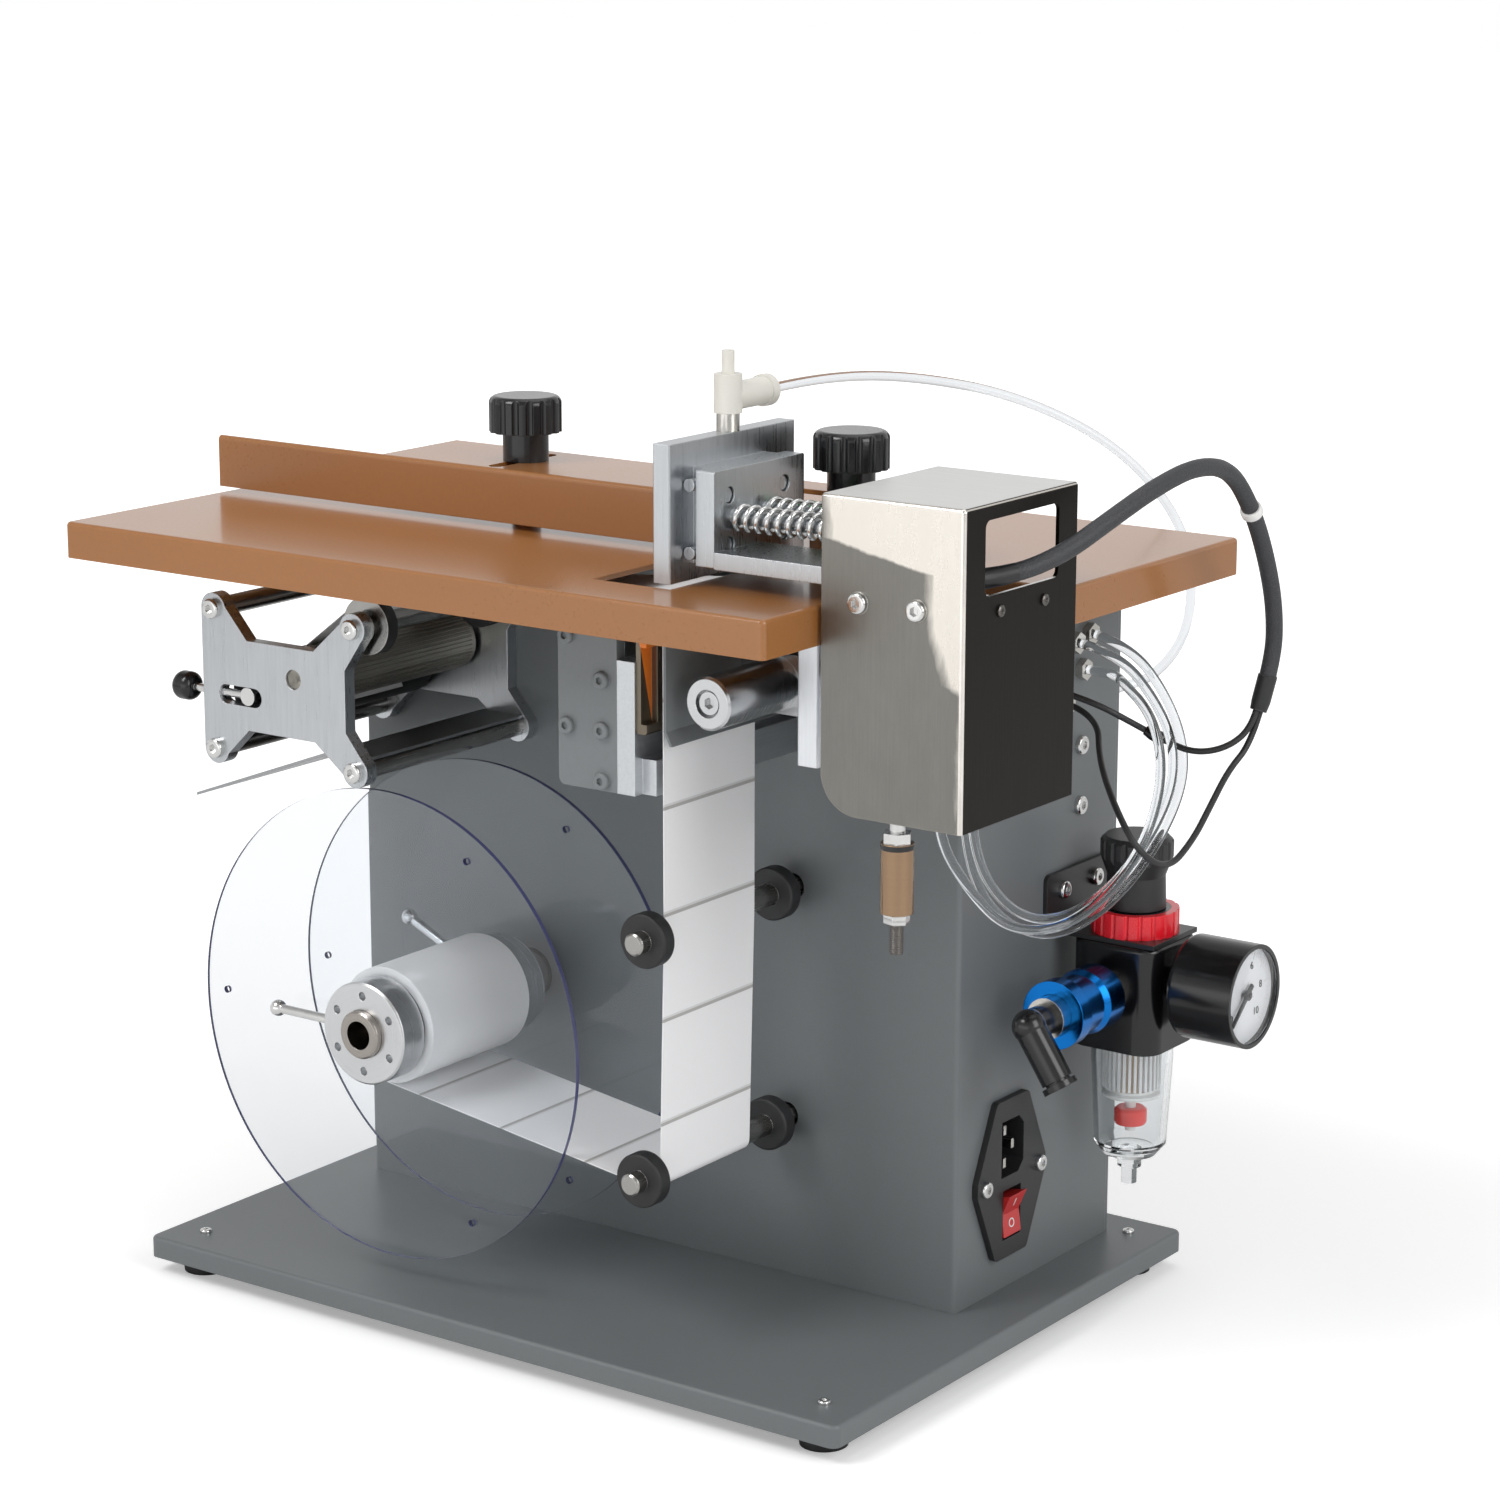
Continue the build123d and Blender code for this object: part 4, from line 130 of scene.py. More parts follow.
class Finish:
    def __init__(self, name, roughness=0.5, metallic=0.0):
        self.material = bpy.data.materials.new(name)
        self.material.use_nodes = True
        self.tree = self.material.node_tree
        self.shader = self.tree.nodes["Principled BSDF"]
        self.feed("Roughness", roughness)
        self.feed("Metallic", metallic)
        self.place = self.add("ShaderNodeTexCoord", output="Object")

    def plug(self, socket, value):
        if isinstance(value, Link):
            self.tree.links.new(value.socket, socket)
        elif isinstance(value, (tuple, list)) and len(value) == 3 and len(socket.default_value) == 4:
            socket.default_value = (*value, 1)
        else:
            socket.default_value = value

    def add(self, kind, settings=None, values=(), output=0):
        node = self.tree.nodes.new(kind)
        for key, value in (settings or {}).items():
            if key == "stops":
                while len(node.color_ramp.elements) < len(value):
                    node.color_ramp.elements.new(1.0)
                for element, (place, shade) in zip(node.color_ramp.elements, value):
                    element.position = place
                    element.color = (*shade, 1) if isinstance(shade, (tuple, list)) else (shade, shade, shade, 1)
            else:
                setattr(node, key, value)
        pairs = values.items() if isinstance(values, dict) else enumerate(values)
        for key, value in pairs:
            self.plug(node.inputs[key], value)
        return Link(self, node.outputs[output])

    def feed(self, socket, value):
        self.plug(self.shader.inputs[socket], value)

    def mapped(self, scale=(1, 1, 1), centre=(0, 0, 0), turn=(0, 0, 0)):
        middle = self.add("ShaderNodeMapping", {"vector_type": "POINT"},
                          {"Vector": self.place, "Location": tuple(-c for c in centre)})
        return self.add("ShaderNodeMapping", {"vector_type": "POINT"},
                        {"Vector": middle, "Rotation": turn, "Scale": scale})

    def noise(self, scale, detail=3.0, stretch=(1, 1, 1), roughness=0.5):
        return self.add("ShaderNodeTexNoise", None,
                        {"Vector": self.mapped(stretch), "Scale": scale, "Detail": detail, "Roughness": roughness})

    def cells(self, scale):
        return self.add("ShaderNodeTexVoronoi", {"feature": "F1"},
                        {"Vector": self.place, "Scale": scale}, output="Distance")

    def parts(self, centre=(0, 0, 0)):
        # the three object coordinates about a centre, as single values
        split = self.tree.nodes.new("ShaderNodeSeparateXYZ")
        self.plug(split.inputs[0], self.mapped(centre=centre))
        return [Link(self, split.outputs[i]) for i in range(3)]

    def radius(self, centre, across=(0, 2)):
        split = self.parts(centre)
        a, b = (split[i] for i in across)
        return (a * a + b * b) ** 0.5

    def turnedNoise(self, centre, across, scale, detail=2.0):
        # noise that runs round an axis, as a lathe tool leaves it
        far = self.radius(centre, across)
        along = self.parts(centre)[3 - sum(across)]
        return self.add("ShaderNodeTexNoise", None,
                        {"Vector": self.add("ShaderNodeCombineXYZ", None, [far, along]), "Scale": scale,
                         "Detail": detail})

    def level(self, value, stops):
        # a value led through a ramp of grey stops
        return self.add("ShaderNodeValToRGB", {"stops": stops}, [value])

    def mixed(self, one, two, share):
        node = self.tree.nodes.new("ShaderNodeMix")
        node.data_type = "RGBA"
        for index, value in ((0, share), (6, one), (7, two)):
            self.plug(node.inputs[index], value)
        return Link(self, node.outputs[2])

    def rounded(self, radius):
        return self.add("ShaderNodeBevel", {"samples": 4}, {"Radius": radius})

    def edge(self, radius):
        # 0 on flat faces, rising at sharp edges
        flat = self.add("ShaderNodeNewGeometry", output="Normal")
        meet = self.add("ShaderNodeVectorMath", {"operation": "DOT_PRODUCT"}, [self.rounded(radius), flat],
                        output="Value")
        return (1.0 - meet) * 4.0

    def bump(self, height, distance, strength=1.0, radius=0.0):
        values = {"Height": height, "Distance": distance, "Strength": strength}
        if radius:
            values["Normal"] = self.rounded(radius)
        self.feed("Normal", self.add("ShaderNodeBump", None, values))


def shades(colour, low, high):
    return tuple(c * low for c in colour), tuple(min(1.0, c * high) for c in colour)


def paint(name, colour, gloss, grain, wear=0.35, coat=0.0):
    # paint or powder coat on folded sheet, a little worn at its edges
    finish = Finish(name)
    clouds = finish.noise(6, 5)
    speck = finish.noise(grain["scale"], 3)
    dark, light = shades(colour, 0.86, 1.14)
    body = finish.mixed(dark, light, clouds * 0.6 + speck * 0.4)
    rim = (finish.edge(0.0009) * (0.35 + finish.noise(210, 4))).held()
    finish.feed("Base Color", finish.mixed(body, shades(colour, 1.0, 1.9)[1], rim * wear))
    finish.feed("Roughness", gloss + (clouds - 0.5) * 0.12 + (speck - 0.5) * 0.1)
    finish.feed("Coat Weight", coat)
    finish.feed("Coat Roughness", 0.12)
    finish.bump(speck, grain["depth"], 1.0, 0.0006)
    return finish.material


def milled(name, colour, stretch, rough):
    # aluminium or steel with fine lines along one direction
    finish = Finish(name, metallic=1.0)
    line = finish.noise(900, 4, stretch)
    clouds = finish.noise(14, 4)
    dark, light = shades(colour, 0.8, 1.12)
    body = finish.mixed(dark, light, line * 0.65 + clouds * 0.35)
    rim = finish.edge(0.0006).held()
    finish.feed("Base Color", finish.mixed(body, shades(colour, 1, 1.3)[1], rim * 0.5))
    finish.feed("Roughness", rough + (line - 0.5) * 0.22 + (clouds - 0.5) * 0.12)
    finish.bump(line, 0.00002, 1.0, 0.0005)
    return finish.material


def lathed(name, colour, centre, across=(0, 2), rough=0.25):
    # turned metal: fine rings about an axis
    finish = Finish(name, metallic=1.0)
    ring = finish.turnedNoise(centre, across, 1500)
    clouds = finish.noise(40, 4)
    dark, light = shades(colour, 0.82, 1.12)
    rim = finish.edge(0.0005).held()
    body = finish.mixed(dark, light, ring * 0.5 + clouds * 0.5)
    finish.feed("Base Color", finish.mixed(body, shades(colour, 1, 1.35)[1], rim * 0.6))
    finish.feed("Roughness", rough + (ring - 0.5) * 0.14 + (clouds - 0.5) * 0.12)
    finish.bump(ring, 0.00001, 1.0, 0.0004)
    return finish.material


def moulded(name, colour, rough, grain=0.000015, coat=0.0):
    # moulded plastic or rubber
    finish = Finish(name)
    fine = finish.noise(2600, 3)
    clouds = finish.noise(22, 4)
    dark, light = shades(colour, 0.8, 1.25)
    rim = finish.edge(0.0006).held()
    body = finish.mixed(dark, light, clouds * 0.7 + fine * 0.3)
    finish.feed("Base Color", finish.mixed(body, tuple(min(1.0, c * 1.2 + 0.04) for c in colour), rim * 0.5))
    finish.feed("Roughness", rough + (clouds - 0.5) * 0.14 + (fine - 0.5) * 0.06)
    finish.feed("Coat Weight", coat)
    finish.bump(fine, grain, 1.0, 0.0005)
    return finish.material


def bright(name, colour=(0.72, 0.72, 0.71), rough=0.16):
    # plated screws, springs and fittings
    finish = Finish(name, metallic=1.0)
    clouds = finish.noise(120, 4)
    scuff = finish.noise(700, 4, (1, 1, 0.2))
    dark, light = shades(colour, 0.82, 1.1)
    finish.feed("Base Color", finish.mixed(dark, light, clouds))
    finish.feed("Roughness", rough + (scuff - 0.5) * 0.16)
    finish.bump(scuff, 0.000012, 1.0, 0.0003)
    return finish.material


def seeThrough(name, colour, ior, rough, haze=0.06):
    # clear plastic: light passes it, and its surface is faintly scuffed
    finish = Finish(name, roughness=rough)
    scuff = finish.noise(60, 5)
    dark, light = shades(colour, 0.97, 1.0)
    finish.feed("Base Color", finish.mixed(dark, light, scuff))
    finish.feed("Roughness", rough + scuff * haze * 0.3)
    finish.feed("Transmission Weight", 1.0)
    finish.feed("IOR", ior)
    tree = finish.tree
    clear = tree.nodes.new("ShaderNodeBsdfTransparent")
    clear.inputs[0].default_value = (*(0.35 + 0.65 * c for c in colour), 1)
    path = tree.nodes.new("ShaderNodeLightPath")
    shadow = Link(finish, path.outputs["Is Shadow Ray"]).sum("MAXIMUM", Link(finish, path.outputs["Is Diffuse Ray"]))
    blend = tree.nodes.new("ShaderNodeMixShader")
    tree.links.new(shadow.socket, blend.inputs[0])
    tree.links.new(finish.shader.outputs[0], blend.inputs[1])
    tree.links.new(clear.outputs[0], blend.inputs[2])
    tree.links.new(blend.outputs[0], tree.nodes["Material Output"].inputs[0])
    return finish.material


def coverSheet(name, shadedTone, highlightTone, corner, width, height):
    # brushed stainless front, its brushed body darkened as painted shade, with a painted highlight swept across its
    # top and down its right edge and laid along its sharp edges
    finish = Finish(name, metallic=1.0)
    x, _, z = finish.parts(corner)
    line = finish.noise(1300, 5, (1, 1, 0.03), 0.6)
    cloth = finish.noise(85, 6, (1, 1, 0.5), 0.68)
    fringe = finish.noise(130, 4, (1.6, 1, 0.35), 0.6)
    # where the painted highlight starts across the front, as a share of its width, at each height
    start = finish.level(z / height, [(0.0, 0.955), (0.43, 0.955), (0.455, 0.85), (0.56, 0.78), (0.675, 0.715),
                                      (0.79, 0.72), (0.83, 0.3), (0.865, 0.0)])
    sweep = ((x / width - start + (fringe - 0.5) * 0.16) * 11).held()
    dark, light = shades(shadedTone, 0.74, 1.26)
    shadedBrushed = finish.mixed(dark, light, cloth * 0.65 + line * 0.35)
    shine = finish.mixed(shades(highlightTone, 0.86, 1)[0], highlightTone, cloth * 0.6 + fringe * 0.4)
    rim = finish.edge(0.0008).held()
    body = finish.mixed(shadedBrushed, shine, sweep)
    finish.feed("Base Color", finish.mixed(body, highlightTone, rim * 0.7))
    finish.feed("Roughness", 0.36 - sweep * 0.08 + (cloth - 0.5) * 0.22)
    finish.bump(line * 0.6 + cloth * 0.4, 0.00003, 1.0, 0.0007)
    return finish.material


def sleeved(name, colour):
    # woven cable sleeve
    finish = Finish(name)
    weave = finish.cells(1500)
    clouds = finish.noise(45, 4)
    # the weave's hollows are darker in colour than its raised strands: painted shade in the hollows
    dark, light = shades(colour, 0.6, 1.9)
    finish.feed("Base Color", finish.mixed(dark, light, weave * 0.6 + clouds * 0.4))
    finish.feed("Roughness", 0.52 + (clouds - 0.5) * 0.2)
    finish.bump(weave, 0.00012)
    return finish.material


def paper(name, colour, rough=0.62):
    # plain card and paper, with a faint fibre
    finish = Finish(name, roughness=rough)
    fibre = finish.noise(900, 5)
    clouds = finish.noise(18, 3)
    dark, light = shades(colour, 0.95, 1.03)
    finish.feed("Base Color", finish.mixed(dark, light, fibre * 0.5 + clouds * 0.5))
    finish.feed("Roughness", rough + (fibre - 0.5) * 0.1)
    finish.bump(fibre, 0.00001)
    return finish.material


def labelPaper(name, label, shadedLiner, pitch, gap, shift, bendX):
    # blank labels on their liner, one after another along the web; the liner in each gap is darkened as painted
    # shade, and a painted shadow band follows each gap
    finish = Finish(name, roughness=0.5)
    x, _, z = finish.parts()
    upright = x.over(bendX)
    along = z * upright + x * (1.0 - upright)
    step = ((along + shift) / pitch).fraction()
    between = step.under(gap / pitch)
    shadow = step.under(gap / pitch * 1.7) - between
    fibre = finish.noise(900, 5)
    clouds = finish.noise(18, 3)
    dark, light = shades(label, 0.96, 1.02)
    body = finish.mixed(dark, light, fibre * 0.5 + clouds * 0.5)
    # the gaps take the liner darkened as painted shade, and the band after each gap a painted shadow
    finish.feed("Base Color", finish.mixed(body, shadedLiner, (between + shadow * 0.4).held()))
    finish.feed("Roughness", 0.42 + between * 0.2 + (fibre - 0.5) * 0.1)
    finish.bump((1.0 - between) * 0.8 + fibre * 0.1, 0.0001)
    return finish.material


def knurled(name, colour, centre, angleStep, rowStep):
    # crossed knurling round an axis that runs along Y
    finish = Finish(name, metallic=1.0)
    x, y, z = finish.parts(centre)
    angle = finish.add("ShaderNodeMath", {"operation": "ARCTAN2"}, [z, x])
    one = (angle * angleStep + y * rowStep).waved()
    two = (angle * angleStep - y * rowStep).waved()
    diamond = one * two * 0.5 + 0.5
    clouds = finish.noise(60, 4)
    # the knurl's valleys are darker in colour than its peaks: painted shade in the grooves
    dark, light = shades(colour, 0.55, 1.2)
    finish.feed("Base Color", finish.mixed(dark, light, diamond * 0.7 + clouds * 0.3))
    finish.feed("Roughness", 0.34 + (clouds - 0.5) * 0.16)
    finish.bump(diamond, 0.00015, 1.0, 0.0004)
    return finish.material


print("finishes")
coarse = {"scale": 1400, "depth": 0.00005}
smooth = {"scale": 700, "depth": 0.000018}
bronzePaint = paint("bronze_paint", (0.34, 0.135, 0.034), 0.3, smooth, 0.4, 0.5)
greyPaint = paint("grey_paint", (0.15, 0.163, 0.168), 0.4, coarse, 0.35)
palePaint = paint("pale_grey_paint", (0.19, 0.205, 0.212), 0.4, smooth, 0.35)
blackPaint = paint("black_paint", (0.02, 0.02, 0.021), 0.33, smooth, 0.2)
plateAlu = milled("plate_aluminium", (0.56, 0.58, 0.6), (1, 1, 0.06), 0.3)
barAlu = milled("bar_aluminium", (0.62, 0.64, 0.66), (1, 0.05, 1), 0.33)
paleAlu = milled("pale_aluminium", (0.82, 0.84, 0.87), (1, 1, 0.08), 0.4)
groundSteel = milled("ground_steel", (0.42, 0.41, 0.39), (1, 0.03, 1), 0.24)
darkSteel = milled("dark_steel", (0.16, 0.15, 0.14), (1, 1, 0.1), 0.3)
brightSteel = bright("bright_steel")
nickel = bright("nickel", (0.66, 0.64, 0.6), 0.2)
rubber = moulded("black_rubber", (0.014, 0.014, 0.015), 0.5, 0.00004)
glossBlack = moulded("gloss_black", (0.006, 0.006, 0.007), 0.2, 0.00001, 0.1)
mattBlack = moulded("matt_black", (0.018, 0.018, 0.019), 0.42)
whiteNylon = moulded("white_nylon", (0.8, 0.8, 0.78), 0.36)
clearSheet = seeThrough("clear_sheet", (0.955, 0.972, 0.99), 1.32, 0.0, 0.01)
clearBowl = seeThrough("clear_bowl", (0.93, 0.95, 0.96), 1.46, 0.04)
clearTube = seeThrough("clear_tube", (0.86, 0.88, 0.9), 1.4, 0.06)
gaugeGlass = seeThrough("gauge_glass", (0.97, 0.98, 0.99), 1.2, 0.01, 0.02)
# the clear discs' rims drawn as opaque dark blue paint: painted shade standing for the dark line their clear edges
# show
discEdgeShade = paint("disc_edge_shade", (0.075, 0.08, 0.19), 0.2, smooth, 0.3, 0.4)
bronze = lathed("bronze_barrel", (0.36, 0.24, 0.15), tuple(spot(353, 41, 0)), (0, 1), 0.2)
brownSteel = milled("brown_steel", (0.2, 0.17, 0.13), (1, 1, 0.1), 0.34)
orangeStrip = moulded("orange_strip", (0.85, 0.2, 0.012), 0.3)
# the web's labels, with painted shade in the gaps between them
whiteWeb = labelPaper("label_paper", (0.95, 0.95, 0.96), (0.47, 0.46, 0.45), 0.0426, 0.0013, -0.2343, 0.0595)
# the cover front: a dark tone as painted shade and a pale tone as painted highlight
coverFront = coverSheet("cover_front", (0.21, 0.204, 0.188), (0.8, 0.755, 0.69), tuple(spot(327, 28, 245)),
                        0.062, 0.12)
# the cover's top as a lit copy of its stainless (painted light), its side and inner faces as a near-black shaded
# copy (painted shade), its bend as a bright copy (painted highlight)
coverTopLit = milled("cover_top_lit", (0.8, 0.8, 0.78), (0.06, 1, 1), 0.34)
coverSideShaded = milled("cover_side_shaded", (0.022, 0.019, 0.016), (1, 1, 0.06), 0.36)
coverFoldHighlight = bright("cover_fold_highlight", (0.86, 0.82, 0.77), 0.2)

reelCentre = tuple(spot(113, 0, 123.5))
finishes = {
    "base_tray": greyPaint, "column_cabinet": greyPaint, "peel_side_plate": palePaint,
    "table_top": bronzePaint, "fence": bronzePaint, "feet": rubber, "case_screws": brightSteel,
    "left_knob": glossBlack, "right_knob": glossBlack, "cord_glands": nickel, "feed_plates": plateAlu,
    "spacer_rods": groundSteel, "deflector_sheet": milled("deflector", (0.4, 0.41, 0.42), (0.05, 1, 1), 0.34),
    "drive_roller": knurled("drive_roller", (0.44, 0.42, 0.37), tuple(spot(78, 0, 266)), 46, 3300),
    "pinch_carriage": brightSteel, "pinch_roller": rubber, "motor_and_bearings": blackPaint,
    "reel_spindle": lathed("spindle", (0.4, 0.37, 0.34), reelCentre),
    "near_collar": lathed("near_collar", (0.66, 0.67, 0.68), reelCentre, rough=0.3),
    "near_lever": brightSteel, "far_disc": clearSheet, "near_disc": clearSheet,
    "label_core": paper("core_card", (0.9, 0.9, 0.9), 0.45),
    "lower_guide": groundSteel, "upper_guide": groundSteel,
    "label_web": whiteWeb, "backing_paper": paper("liner_paper", (0.84, 0.84, 0.84)),
    "peel_block": barAlu, "label_sensor": brownSteel, "web_guide_plate": palePaint,
    "stop_post": lathed("stop_post", (0.62, 0.63, 0.64), tuple(spot(273.5, 0, 278.7))),
    "carrier_plate": paleAlu, "head_frame": paleAlu,
    "sensor_board": moulded("board_green", (0.02, 0.17, 0.045), 0.35, coat=0.3),
    "head_cover": coverFront, "flow_fitting": nickel, "head_cylinder": barAlu,
    "cylinder_rod": bronze, "press_plates": plateAlu, "press_springs": brightSteel,
    "air_fitting": moulded("cream_nylon", (0.76, 0.74, 0.68), 0.35),
    "regulator_bracket": blackPaint, "regulator_body": glossBlack,
    "lock_ring": moulded("red_ring", (0.8, 0.009, 0.022), 0.25, coat=0.3), "regulator_knob": mattBlack,
    "filter_bowl": clearBowl, "pressure_gauge": glossBlack, "gauge_needle": mattBlack,
    "valve_core": nickel,
    "valve_sleeve": lathed("blue_sleeve", (0.01, 0.19, 0.62), tuple(spot(357, 0, 141)), rough=0.2),
    "elbow_fitting": glossBlack, "power_inlet": mattBlack,
    "rocker_switch": moulded("red_rocker", (0.5, 0.02, 0.02), 0.28, coat=0.2),
    "air_tube": clearTube, "head_cable": mattBlack, "tube_loop_a": clearTube, "tube_loop_b": clearTube,
    "tube_loop_c": clearTube, "thin_cable_a": mattBlack, "thin_cable_b": mattBlack}
for name, node in nodes.items():
    node.data.materials.clear()
    node.data.materials.append(finishes[name])


def second(name, finish, where):
    # another finish on the faces of a CAD part that pass a test on their middle point, in millimetres
    mesh = nodes[name].data
    mesh.materials.append(finish)
    for face in mesh.polygons:
        if where((face.center - cadShift) * 1000, face.normal):
            face.material_index = len(mesh.materials) - 1


print("floor, lamps and room")
lampAim = Vector((0, 0, 0.2))


def lampAt(name, place, size, power):
    # a soft lamp that faces the middle of the machine
    data = bpy.data.lights.new(name, "AREA")
    data.shape = "RECTANGLE"
    data.size, data.size_y = size
    data.energy = power
    lamp = bpy.data.objects.new(name, data)
    lamp.location = place
    lamp.rotation_euler = (lampAim - Vector(place)).to_track_quat("-Z", "Y").to_euler()
    bpy.context.scene.collection.objects.link(lamp)


lampAt("key", (-0.9, -1.7, 2.4), (1.2, 1.2), 35)
lampAt("side", (2.1, -0.3, 1.3), (1.2, 1.6), 22)
lampAt("top", (0.1, 0.5, 2.3), (1.8, 1.8), 10)
lampAt("low", (-0.1, -1.6, 0.3), (2.0, 0.6), 3)

stage = {"reach": 9.0, "glow": 0.9, "middle": (0.1, 0.0), "near": 0.34, "far": 2.2, "through": 0.62}
floorMesh = bpy.data.meshes.new("floor")
floorMesh.from_pydata([(x * stage["reach"], y * stage["reach"], 0) for x, y in ((-1, -1), (1, -1), (1, 1), (-1, 1))],
                      [], [(0, 1, 2, 3)])
floor = bpy.data.objects.new("floor", floorMesh)
bpy.context.scene.collection.objects.link(floor)
floorFinish = Finish("floor_white", roughness=0.9)
grain = floorFinish.noise(3, 2)
floorFinish.feed("Base Color", floorFinish.mixed((0.9, 0.9, 0.9), (0.93, 0.93, 0.93), grain))
away = floorFinish.radius((*stage["middle"], 0), (0, 1))
floorFinish.feed("Emission Color", floorFinish.level(away / stage["far"], [(0.1, stage["near"]), (1.0, 1.0)]))
seen = floorFinish.tree.nodes.new("ShaderNodeLightPath")
direct = Link(floorFinish, seen.outputs["Is Camera Ray"])
through = Link(floorFinish, seen.outputs["Is Transmission Ray"]) * stage["through"]
glow = direct.sum("MAXIMUM", through) * stage["glow"]
floorFinish.tree.links.new(glow.socket, floorFinish.shader.inputs["Emission Strength"])
floorMesh.materials.append(floorFinish.material)

world = bpy.data.worlds.new("room")
bpy.context.scene.world = world
world.use_nodes = True
room = world.node_tree
sky = room.nodes["Background"]
aim = room.nodes.new("ShaderNodeTexCoord")
height = room.nodes.new("ShaderNodeSeparateXYZ")
room.links.new(aim.outputs["Generated"], height.inputs[0])
ceiling = room.nodes.new("ShaderNodeValToRGB")
roomLight = {"stops": ((0.08, 1.0), (0.75, 0.42)), "onObject": 0.62, "seen": 1.0}
for element, (place, shade) in zip(ceiling.color_ramp.elements, roomLight["stops"]):
    element.position = place
    element.color = (shade, shade, shade, 1)
room.links.new(height.outputs["Z"], ceiling.inputs[0])
room.links.new(ceiling.outputs[0], sky.inputs["Color"])
rays = room.nodes.new("ShaderNodeLightPath")
lookA = room.nodes.new("ShaderNodeMath")
lookA.operation = "MAXIMUM"
room.links.new(rays.outputs["Is Camera Ray"], lookA.inputs[0])
room.links.new(rays.outputs["Is Glossy Ray"], lookA.inputs[1])
lookB = room.nodes.new("ShaderNodeMath")
lookB.operation = "MAXIMUM"
room.links.new(lookA.outputs[0], lookB.inputs[0])
room.links.new(rays.outputs["Is Transmission Ray"], lookB.inputs[1])
level = room.nodes.new("ShaderNodeMapRange")
level.inputs["To Min"].default_value = roomLight["onObject"]
level.inputs["To Max"].default_value = roomLight["seen"]
room.links.new(lookB.outputs[0], level.inputs["Value"])
room.links.new(level.outputs[0], sky.inputs["Strength"])

print("cords")
sharpAngle = math.radians(35)


def routeCurve(name, points):
    # a smooth line through the control points of a route, given in millimetres
    curve = bpy.data.curves.new(name, "CURVE")
    curve.dimensions = "3D"
    line = curve.splines.new("NURBS")
    line.points.add(len(points) - 1)
    for control, place in zip(line.points, points):
        control.co = (*spot(*place), 1)
    line.order_u = 3
    line.use_endpoint_u = True
    line.resolution_u = 10
    return curve


def followed(points):
    # where that smooth line really runs
    curve = routeCurve("trace", points)
    piece = bpy.data.objects.new("trace", curve)
    bpy.context.scene.collection.objects.link(piece)
    mesh = bpy.data.meshes.new_from_object(piece.evaluated_get(bpy.context.evaluated_depsgraph_get()))
    line = [vertex.co.copy() for vertex in mesh.vertices]
    bpy.data.objects.remove(piece)
    bpy.data.curves.remove(curve)
    bpy.data.meshes.remove(mesh)
    return line


def meshPiece(name, body, finish, verts, faces):
    # a smooth mesh with its sharp edges kept; no body means that it is left unattached
    mesh = bpy.data.meshes.new(name)
    mesh.from_pydata([tuple(v) for v in verts], [], faces)
    tidy = bmesh.new()
    tidy.from_mesh(mesh)
    bmesh.ops.recalc_face_normals(tidy, faces=tidy.faces)
    tidy.to_mesh(mesh)
    tidy.free()
    for face in mesh.polygons:
        face.use_smooth = True
    mesh.materials.append(finish)
    mesh.set_sharp_from_angle(angle=sharpAngle)
    piece = bpy.data.objects.new(name, mesh)
    bpy.context.scene.collection.objects.link(piece)
    if body:
        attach(piece, body)
    return piece


def ringFaces(rows, sides):
    # the faces between rings of points, the last ring closing on the first
    faces = []
    for row in range(rows):
        after = (row + 1) % rows
        for step in range(sides):
            ahead = (step + 1) % sides
            faces.append((row * sides + step, row * sides + ahead, after * sides + ahead, after * sides + step))
    return faces


def turnedPiece(name, body, finish, origin, along, outline, sides=40):
    # a closed outline of (radius, distance) turned about a line from the origin, in millimetres
    along = Vector(along).normalized()
    side = along.orthogonal().normalized()
    other = along.cross(side)
    verts = []
    for far, out in outline:
        for step in range(sides):
            angle = 2 * math.pi * step / sides
            outward = side * math.cos(angle) + other * math.sin(angle)
            verts.append(spot(*origin) + (along * out + outward * far) / 1000)
    return meshPiece(name, body, finish, verts, ringFaces(len(outline), sides))


def sleeveOn(name, body, finish, line, start, widths, sides=28):
    # a sleeve round a cord: widths are (distance, radius) in millimetres, from start along its line
    far = [0.0]
    for one, two in zip(line, line[1:]):
        far.append(far[-1] + (two - one).length * 1000)
    if start < 0:
        start += far[-1]

    def at(distance):
        distance = max(0.0, min(far[-1] - 0.001, distance))
        index = max(i for i in range(len(line) - 1) if far[i] <= distance)
        run = line[index + 1] - line[index]
        return line[index] + run * ((distance - far[index]) / 1000 / run.length), run.normalized()

    guide = at(start)[1].orthogonal()
    verts = []
    for distance, width in widths:
        place, run = at(start + distance)
        side = (guide - run * guide.dot(run)).normalized()
        other = run.cross(side)
        for step in range(sides):
            angle = 2 * math.pi * step / sides
            verts.append(place + (side * math.cos(angle) + other * math.sin(angle)) * (width / 1000))
    return meshPiece(name, body, finish, verts, ringFaces(len(widths), sides))


def cordPiece(name, body, node, finish, facts):
    # a cord that stands for its CAD tube, which it hides; one whose body is both is made a plain mesh where it lies,
    # the rest are attached to their body
    curve = routeCurve(name, facts["route"])
    curve.bevel_depth = facts["diameter"] / 2
    curve.bevel_resolution = 6
    curve.use_fill_caps = True
    piece = bpy.data.objects.new(name, curve)
    bpy.context.scene.collection.objects.link(piece)
    curve.materials.append(finish)
    path = None
    if body == "both":
        path = [tuple(point) for point in followed(facts["route"])]
        mesh = bpy.data.meshes.new_from_object(piece.evaluated_get(bpy.context.evaluated_depsgraph_get()))
        bpy.data.objects.remove(piece)
        piece = bpy.data.objects.new(name, mesh)
        bpy.context.scene.collection.objects.link(piece)
        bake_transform(piece)
    else:
        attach(piece, body)
    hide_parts(node)


